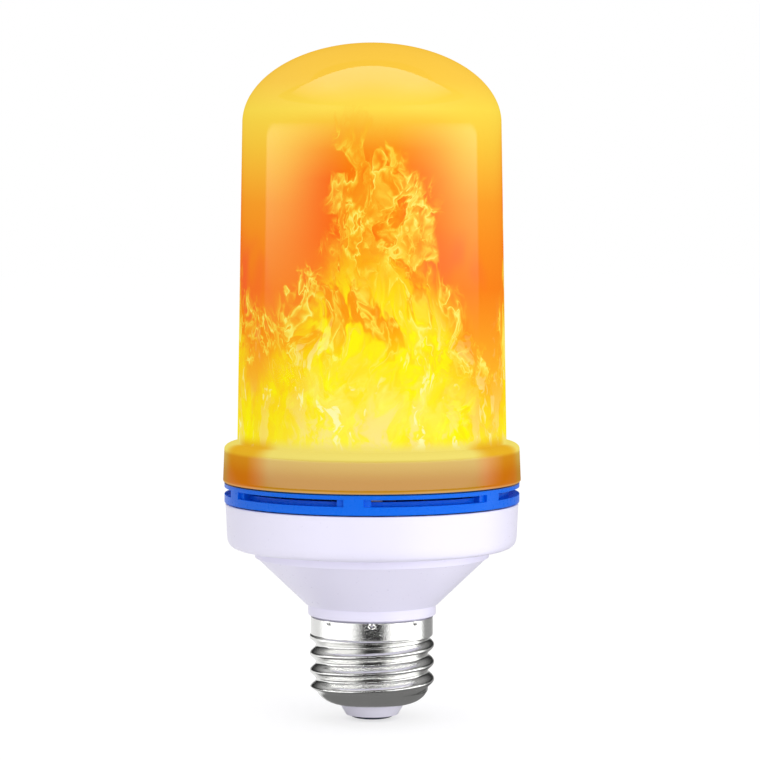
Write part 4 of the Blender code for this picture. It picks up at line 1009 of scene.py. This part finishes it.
class FLAMEBULB_OT_tip(bpy.types.Operator):
    """Build the insulator at the cap's tip and the centre contact with its rivet"""

    bl_idname = "flame_bulb.tip"
    bl_label = "Insulator and contact"

    def execute(self, context):
        cap = context.scene.flame_bulb_cap
        self.insulator(cap)
        self.contact(cap)
        return {"FINISHED"}

    def insulator(self, cap):
        """A turned ring: flange in the bowl, neck through the hole and a cone down to the contact."""
        flange, foot, top = extent("cap_insulator")
        foot -= cap.tip_reach
        crest, shell_foot, _ = extent("screw_shell")
        gap = cap.insulator_gap
        bore = cap.rivet_radius + gap
        neck = cap.hole_radius - gap
        backing = cap.sheet + gap
        seat_width = crest - cap.thread_depth - cap.hole_radius - backing
        seat_depth = cap.bowl_height - backing
        bowl_top = shell_foot + cap.bowl_height
        outer = math.degrees(math.asin((flange - cap.hole_radius) / seat_width))
        seat = ellipse((cap.hole_radius, bowl_top), (seat_width, seat_depth), outer - 90, -90, 8)
        upper = softened([(bore, top, 0.0001), (flange, top, 0.0002), (*seat[0], 0.0)])
        lower = softened(
            [
                (*seat[-1], 0.0),
                (neck, seat[-1, 1], 0.0001),
                (neck, shell_foot, 0.0003),
                (cap.insulator_tip, foot, 0.00015),
                (bore, foot, 0.0001),
                (bore, top, 0.0),
            ],
            6,
        )
        outline = spaced(np.vstack([upper[:-1], seat, lower[1:]]), FACET)
        material = moulded("insulator_plastic_moulded", cap.insulator, roughness=0.32, mottle=0.04)
        mesh = turned_mesh("tip_insulator", turned_skin(outline[:-1], segments=128, closed=True))
        add_piece("tip_insulator", mesh, material, "insulator_plastic", "cap_insulator")

    def contact(self, cap):
        """A turned disc with a domed lower edge and a rivet up its middle."""
        radius, foot, top = extent("centre_contact")
        disc_top = foot + cap.contact_thickness
        rivet = softened(
            [
                (0.0, top, 0),
                (cap.rivet_radius, top, 0.0003),
                (cap.rivet_radius, disc_top, 0.0001),
                (radius, disc_top, 0),
            ],
            6,
        )
        middle = (radius - cap.contact_round, disc_top)
        dome = ellipse(middle, (cap.contact_round, cap.contact_thickness), 0, -90, 12)
        outline = spaced(np.vstack([rivet, dome[1:], (0.0, foot)]), FACET)
        # painted shade: this dark bluish tint stands for the shade that the contact sits in under the bulb
        material = plated("contact_metal_painted_shade", cap.contact, roughness=0.32, pebble=2600.0, tarnish=0.35)
        mesh = turned_mesh("dark_contact", turned_skin(outline, segments=96))
        add_piece("dark_contact", mesh, material, "contact_metal", "centre_contact")


def striped(name, first, second, axis, scale, roughness, metallic=0.0, sharp=0.5):
    """A material with bands of two colours across one axis, such as turns of wire or a printed mark."""
    material, shader, weave = new_material(name)
    inputs = {"Vector": weave.place(), "Scale": scale, "Distortion": 0.4, "Detail": 1.0}
    bands = weave.node("ShaderNodeTexWave", inputs, output=1, bands_direction=axis)
    share = weave.band(bands, 0.5 - sharp / 2, 0.5 + sharp / 2)
    colour = weave.mix(share, linear(*first), linear(*second))
    weave.feed(shader, {"Base Color": colour, "Roughness": roughness, "Metallic": metallic})
    weave.bump(shader, bands, 0.4, 0.00005)
    return material


def radial(name, inner, outer, radius, roughness):
    """A material that changes colour at a distance from the axis, such as LEDs over their film."""
    material, shader, weave = new_material(name)
    place = weave.place()
    flat = weave.vector("MULTIPLY", place, (1.0, 1.0, 0.0))
    distance = weave.node("ShaderNodeVectorMath", {0: flat}, output=1, operation="LENGTH")
    speckle = weave.noise(place, 900.0)
    share = weave.band(distance, radius, radius + 0.0001)
    colour = weave.mix(share, linear(*inner), linear(*outer))
    colour = weave.mix(weave.band(speckle, 0.45, 0.8, 0.0, 0.12), colour, (0.5, 0.42, 0.3))
    gloss = weave.band(speckle, 0.2, 0.8, roughness * 0.8, roughness * 1.2)
    weave.feed(shader, {"Base Color": colour, "Roughness": gloss})
    return material


def laminate(name, colour, track, scale):
    """Circuit board laminate: a fine glass weave with broader tracks showing through the resist."""
    material, shader, weave = new_material(name)
    place = weave.place()
    cells = weave.node("ShaderNodeTexBrick", {"Vector": place, "Scale": scale}, output=1)
    tracks = weave.band(weave.noise(place, 190.0, 1.0), 0.52, 0.56)
    colour = weave.mix(tracks, linear(*colour), linear(*track))
    weave.feed(shader, {"Base Color": colour, "Roughness": 0.4})
    weave.bump(shader, weave.math("ADD", weave.times(cells, 0.3), tracks), 0.35, 0.00004)
    return material


def finish(*rows):
    """Give CAD nodes a finished material in place of their plain one: rows of a material and its nodes."""
    for material, *nodes in rows:
        for name in nodes:
            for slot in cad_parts[name].material_slots:
                slot.material = material


def numbered(name, last):
    """The names of like nodes, from 1 to the last number."""
    return [f"{name}_{number}" for number in range(1, last + 1)]


class FLAMEBULB_OT_column(bpy.types.Operator):
    """Finish the LED column, its strip, its top board and its LEDs"""

    bl_idname = "flame_bulb.column"
    bl_label = "LED column"

    def execute(self, context):
        phosphor = (250, 214, 92)
        film_radius = extent("flex_led_strip")[0] - 0.0008
        core = moulded("core_plastic_matt", linear(228, 228, 224), 0.55, 0.06, 900.0, 0.4)
        strip = radial("strip_film_with_leds", (246, 244, 236), phosphor, film_radius, 0.5)
        board = laminate("aluminium_board_white", (232, 234, 236), (204, 208, 212), 700.0)
        led = moulded("led_package_phosphor", linear(*phosphor), 0.35, 0.12, 2500.0, 0.2)
        finish(
            (core, "column_core"),
            (strip, "flex_led_strip"),
            (board, "top_led_board"),
            (led, *numbered("top_led", 6)),
        )
        return {"FINISHED"}


class FLAMEBULB_OT_driver(bpy.types.Operator):
    """Finish the driver board and what is soldered to it"""

    bl_idname = "flame_bulb.driver"
    bl_label = "Driver board"

    def execute(self, context):
        board = laminate("driver_laminate_green", (34, 92, 58), (46, 116, 70), 900.0)
        sleeve = striped("capacitor_sleeve_marked", (28, 30, 38), (60, 64, 78), "X", 70.0, 0.35)
        core = moulded("ferrite_grey", linear(54, 54, 56), 0.7, 0.3, 2600.0, 0.6)
        turns = striped("copper_turns", (178, 98, 48), (104, 52, 24), "Z", 1200.0, 0.35, 1.0, 0.8)
        case = moulded("film_case_yellow", linear(198, 148, 40), 0.4, 0.08, 1800.0, 0.2, 0.4)
        resin = moulded("chip_resin_black", linear(26, 26, 28), 0.55, 0.3, 3000.0, 0.5)
        can = plated("switch_can_steel", linear(186, 188, 190), 0.28)
        resistor = striped("resistor_banded", (126, 170, 176), (92, 66, 48), "Z", 130.0, 0.4, sharp=0.1)
        rubber = moulded("sleeve_rubber_black", linear(40, 40, 42), 0.7, 0.2, 1600.0, 0.5)
        finish(
            (board, "driver_board"),
            (sleeve, "bulk_capacitor", "output_capacitor"),
            (core, "choke_core"),
            (turns, "choke_winding"),
            (case, "film_capacitor"),
            (resin, "bridge_rectifier", "driver_chip", "controller_chip", *numbered("chip_resistor", 4)),
            (can, "tilt_switch"),
            (resistor, "fuse_resistor"),
            (rubber, "resistor_sleeve"),
        )
        return {"FINISHED"}


class FLAMEBULB_OT_wires(bpy.types.Operator):
    """Finish the screws and the wires"""

    bl_idname = "flame_bulb.wires"
    bl_label = "Screws and wires"

    def execute(self, context):
        zinc = plated("screw_steel_zinc", linear(150, 152, 156), 0.3)
        red = moulded("red_insulation_silicone", linear(186, 26, 24), 0.45, 0.1, 1500.0, 0.2)
        black = moulded("black_insulation_silicone", linear(24, 24, 26), 0.45, 0.1, 1500.0, 0.2)
        tinned = plated("tinned_copper_lead", linear(190, 186, 178), 0.3)
        finish(
            (zinc, *numbered("column_screw", 3), "top_board_screw"),
            (red, "strip_wire_red", "top_wire_red"),
            (black, "strip_wire_black", "top_wire_black"),
            (tinned, "shell_lead"),
        )
        return {"FINISHED"}


def card_material(name):
    """Plain emission, as strong as the card's own 'glow' attribute says."""
    material, shader, weave = new_material(name)
    glow = weave.node("ShaderNodeAttribute", output=2, attribute_name="glow")
    emission = weave.node("ShaderNodeEmission", {"Strength": glow})
    weave.feed(weave.tree.nodes["Material Output"], {"Surface": emission})
    weave.tree.nodes.remove(shader)
    return material


def studio_card(name, points, glow, material):
    """A card that shows in reflections alone, from a grid of points with a glow at each."""
    index = np.arange(glow.size).reshape(glow.shape)
    quads = np.stack([index[:-1, :-1], index[:-1, 1:], index[1:, 1:], index[1:, :-1]], -1).reshape(-1, 4)
    mesh = mesh_of(name, points.reshape(-1, 3), [quads])
    values = mesh.attributes.new("glow", "FLOAT", "POINT")
    values.data.foreach_set("value", glow.astype(np.float32).ravel())
    mesh.materials.append(material)
    card = placed(name, mesh)
    for ray in ("camera", "diffuse", "transmission", "shadow", "volume_scatter"):
        setattr(card, f"visible_{ray}", False)


class FLAMEBULB_OT_studio(bpy.types.Operator):
    """Set up the camera, the pale floor, the lights and the cards that the gloss reflects"""

    bl_idname = "flame_bulb.studio"
    bl_label = "Studio"

    def execute(self, context):
        studio = context.scene.flame_bulb_studio
        self.camera(studio)
        self.world(studio)
        self.floor(studio)
        material = card_material("reflected_studio")
        self.dish(studio, material)
        self.lid(studio, material)
        self.lamps(studio)
        context.scene.view_settings.view_transform = "Standard"
        return {"FINISHED"}

    def camera(self, studio):
        data = bpy.data.cameras.new("photo_camera")
        data.sensor_width = 36.0
        data.lens = studio.lens
        data.clip_start = 0.01
        data.clip_end = 20.0
        camera = placed("photo_camera", data)
        camera.location = (studio.aside, -studio.distance, studio.height)
        camera.rotation_euler = (math.pi / 2 - studio.pitch, 0.0, 0.0)
        bpy.context.scene.camera = camera

    def world(self, studio):
        """White where the camera, a reflection or a clear body sees it, and a soft light elsewhere."""
        world = bpy.data.worlds.new("white_studio")
        world.use_nodes = True
        weave = Weave(world.node_tree)
        path = weave.node("ShaderNodeLightPath").node.outputs
        seen = weave.math("MAXIMUM", path["Is Camera Ray"], path["Is Glossy Ray"])
        seen = weave.math("MAXIMUM", seen, path["Is Transmission Ray"])
        strength = weave.band(seen, 0.0, 1.0, studio.room_light, 1.0, smooth=False)
        weave.feed(weave.tree.nodes["Background"], {"Color": WHITE, "Strength": strength})
        bpy.context.scene.world = world

    def floor(self, studio):
        """A pale floor just under the contact, brought up to white where it is seen and clear from below."""
        half = studio.floor_size / 2
        z = cad_low.z - FLOOR_GAP
        points = [(-half, -half, z), (half, -half, z), (half, half, z), (-half, half, z)]
        mesh = mesh_of("pale_floor", points, [[[0, 1, 2, 3]]])
        material, shader, weave = new_material("pale_floor")
        path = weave.node("ShaderNodeLightPath").node.outputs
        seen = weave.math("MAXIMUM", path["Is Camera Ray"], path["Is Glossy Ray"])
        seen_tone = studio.floor_tone / 2
        tone = weave.math("MULTIPLY_ADD", seen, seen_tone - studio.floor_tone, studio.floor_tone)
        inputs = {
            "Base Color": tone,
            "Roughness": 0.9,
            "Specular IOR Level": 0.0,
            "Emission Color": WHITE,
            "Emission Strength": weave.times(seen, 1.0 - seen_tone * studio.room_light),
        }
        weave.feed(shader, inputs)
        underside = weave.node("ShaderNodeNewGeometry", output="Backfacing")
        clear = weave.node("ShaderNodeBsdfTransparent")
        below = weave.times(path["Is Camera Ray"], underside)
        surface = weave.node("ShaderNodeMixShader", {0: below, 1: shader.outputs[0], 2: clear})
        weave.feed(weave.tree.nodes["Material Output"], {"Surface": surface})
        mesh.materials.append(material)
        placed("pale_floor", mesh)

    def dish(self, studio, material):
        """The dish that the gloss reflects: softboxes at both sides, dark in front and behind.

        A point of it lies at x = r sin a, y = -r cos a, for a from -180 to 180 degrees and (r, z) out along
        the floor and up the wall. Its glow is looked up by a, in one table for the floor and one for each
        stretch of the wall: the low one, the collar's, the tube's and the high one. The tube's upper edge is
        raised most in front, and the wall's top comes down to half its height in front and at the sides.
        """
        foot = cad_low.z - FLOOR_GAP / 2
        radius, top, gloss = studio.dish_radius, studio.lid_height, studio.gloss_light
        a = np.linspace(-180.0, 180.0, 241)
        aside = np.abs(a)
        floor_glow = np.interp(
            a,
            [-180, -168, -150, -114, -98, -38, -14, 16, 42, 96, 112, 150, 168, 180],
            [1.0, 0.9, 0.9, 0.9, 1.5, 1.5, 0.02, 0.02, 2.0, 2.0, 0.35, 0.35, 0.9, 1.0],
        )
        collar_glow = np.interp(a, [-180, -110, -84, 96, 122, 180], [0.1, 0.05, 5.0, 5.0, 0.05, 0.1])
        tube_glow = gloss * np.interp(
            a, [-180, -104.5, -102.5, -20, 20, 102.5, 104.5, 180], [0.02, 0.01, 1.15, 0, 0, 1.3, 0.01, 0.02]
        )
        dark = np.interp(aside, [100, 180], [0.04, 0.06])
        low = np.interp(a, [-180, -122, -100, 100, 122, 180], [0.9, 0.9, 0.04, 0.04, 0.4, 0.5])
        high = np.interp(
            a, [-180, -112, -42, -14, 16, 44, 112, 180], [0.5, 0.8, 0.9, 0.05, 0.05, 1.0, 0.4, 0.5]
        )
        behind = np.interp(a, [-120, -100, 125, 150], [0.9, 0.0, 0.0, 0.35])
        line = [(r, foot) for r in (0.0035, 0.012, 0.018, 0.024, 0.03, 0.04, 0.3, radius)]
        rows = [tone + 0.0 * a for tone in (0.2, 0.2, 0.2, 0.06)]
        rows += [0.25 * floor_glow + 0.03, floor_glow, floor_glow, floor_glow]
        rows[1:5] = [np.maximum(row, behind) for row in rows[1:5]]
        for up, glow in (
            (0.001, low),
            (0.018, low),
            (0.026, dark),
            (0.04, collar_glow),
            (0.059, collar_glow),
            (0.062, 0.05 * tube_glow),
            (0.088, 0.35 * tube_glow),
            (0.11, 0.7 * tube_glow),
            (0.128, 1.1 * tube_glow),
            (0.1305, 1.15 * tube_glow),
            (0.1325, dark),
            (0.155, dark),
            (0.45, high),
            (top, high),
        ):
            line.append((radius, foot + up))
            rows.append(glow)
        line = np.array(line)
        points = around_axis(line[:, :1], line[:, 1:], np.radians(a - 90))
        bend = np.clip((aside - 92) / 11, 0.0, 1.0) ** 2
        lift = 0.0175 * np.cos(np.radians(np.minimum(aside, 120) / 2)) - 0.003 * bend
        points[-6:-3, :, 2] += lift
        points[-1, aside < 112, 2] = 0.5 * top
        studio_card("reflected_dish", points, np.array(rows), material)

    def lid(self, studio, material):
        """The overhead softbox, which fades out in front and at its sides.

        It ends behind at y = 0.17 + 0.14 exp(-(x / 0.28)^2).
        """
        x = np.linspace(-1.6, 1.6, 65)
        back = 0.17 + 0.14 * np.exp(-((x / 0.28) ** 2))
        share = np.array([0.0, 0.35, 0.6, 0.8, 1.0])[:, None]
        y = np.vstack([-1.3 + share * (back + 1.3), back + 0.004, np.full(len(x), 0.9)])
        fade = np.interp(np.abs(x), [0.1, 0.35, 0.9], [1.0, 0.9, 0.0])
        strength = np.array([0.0, 0.1, 0.7, 1.6, 1.95, 0.02, 0.05])[:, None]
        points = np.stack([np.broadcast_to(x, y.shape), y, np.full(y.shape, studio.lid_height)], axis=-1)
        studio_card("reflected_lid", points, studio.gloss_light * strength * fade, material)

    def lamps(self, studio):
        """Large soft lamps in front, at both sides and above, hidden from reflections."""
        target = (cad_low + cad_high) / 2
        for name, place, size, share in (
            ("key_lamp", (0.5, -0.9, 0.7), 0.8, 1.0),
            ("fill_lamp", (-0.8, -0.7, 0.4), 0.8, 0.12),
            ("top_lamp", (0.0, 0.1, 1.1), 0.7, 0.4),
            ("low_lamp", (0.6, -0.75, 0.05), 0.5, 1.7),
        ):
            data = bpy.data.lights.new(name, "AREA")
            data.shape = "SQUARE"
            data.size = size
            data.energy = studio.key_power * share
            lamp = placed(name, data)
            lamp.location = place
            lamp.rotation_euler = (target - lamp.location).to_track_quat("-Z", "Y").to_euler()
            lamp.visible_glossy = False


OPERATORS = (
    FLAMEBULB_OT_studio,
    FLAMEBULB_OT_cover,
    FLAMEBULB_OT_vent_ring,
    FLAMEBULB_OT_housing,
    FLAMEBULB_OT_screw_shell,
    FLAMEBULB_OT_tip,
    FLAMEBULB_OT_column,
    FLAMEBULB_OT_driver,
    FLAMEBULB_OT_wires,
)


class FLAMEBULB_PT_panel(bpy.types.Panel):
    """The bulb's pieces and their sizes"""

    bl_idname = "FLAMEBULB_PT_panel"
    bl_label = "Flame Bulb"
    bl_space_type = "VIEW_3D"
    bl_region_type = "UI"
    bl_category = "Flame Bulb"

    def draw(self, context):
        for operator in OPERATORS:
            self.layout.operator(operator.bl_idname)
        for name, group in SETTINGS.items():
            box = self.layout.box()
            box.label(text=group.__doc__)
            for key in group.__annotations__:
                box.prop(getattr(context.scene, name), key)


def register():
    for group in SETTINGS.values():
        bpy.utils.register_class(group)
    for operator in OPERATORS:
        bpy.utils.register_class(operator)
    bpy.utils.register_class(FLAMEBULB_PT_panel)
    for name, group in SETTINGS.items():
        setattr(bpy.types.Scene, name, PointerProperty(type=group))


def unregister():
    for name in SETTINGS:
        delattr(bpy.types.Scene, name)
    bpy.utils.unregister_class(FLAMEBULB_PT_panel)
    for operator in reversed(OPERATORS):
        bpy.utils.unregister_class(operator)
    for group in reversed(SETTINGS.values()):
        bpy.utils.unregister_class(group)


def main():
    register()
    for operator in OPERATORS:
        group, name = operator.bl_idname.split(".")
        getattr(getattr(bpy.ops, group), name)()


if __name__ == "__main__":
    main()
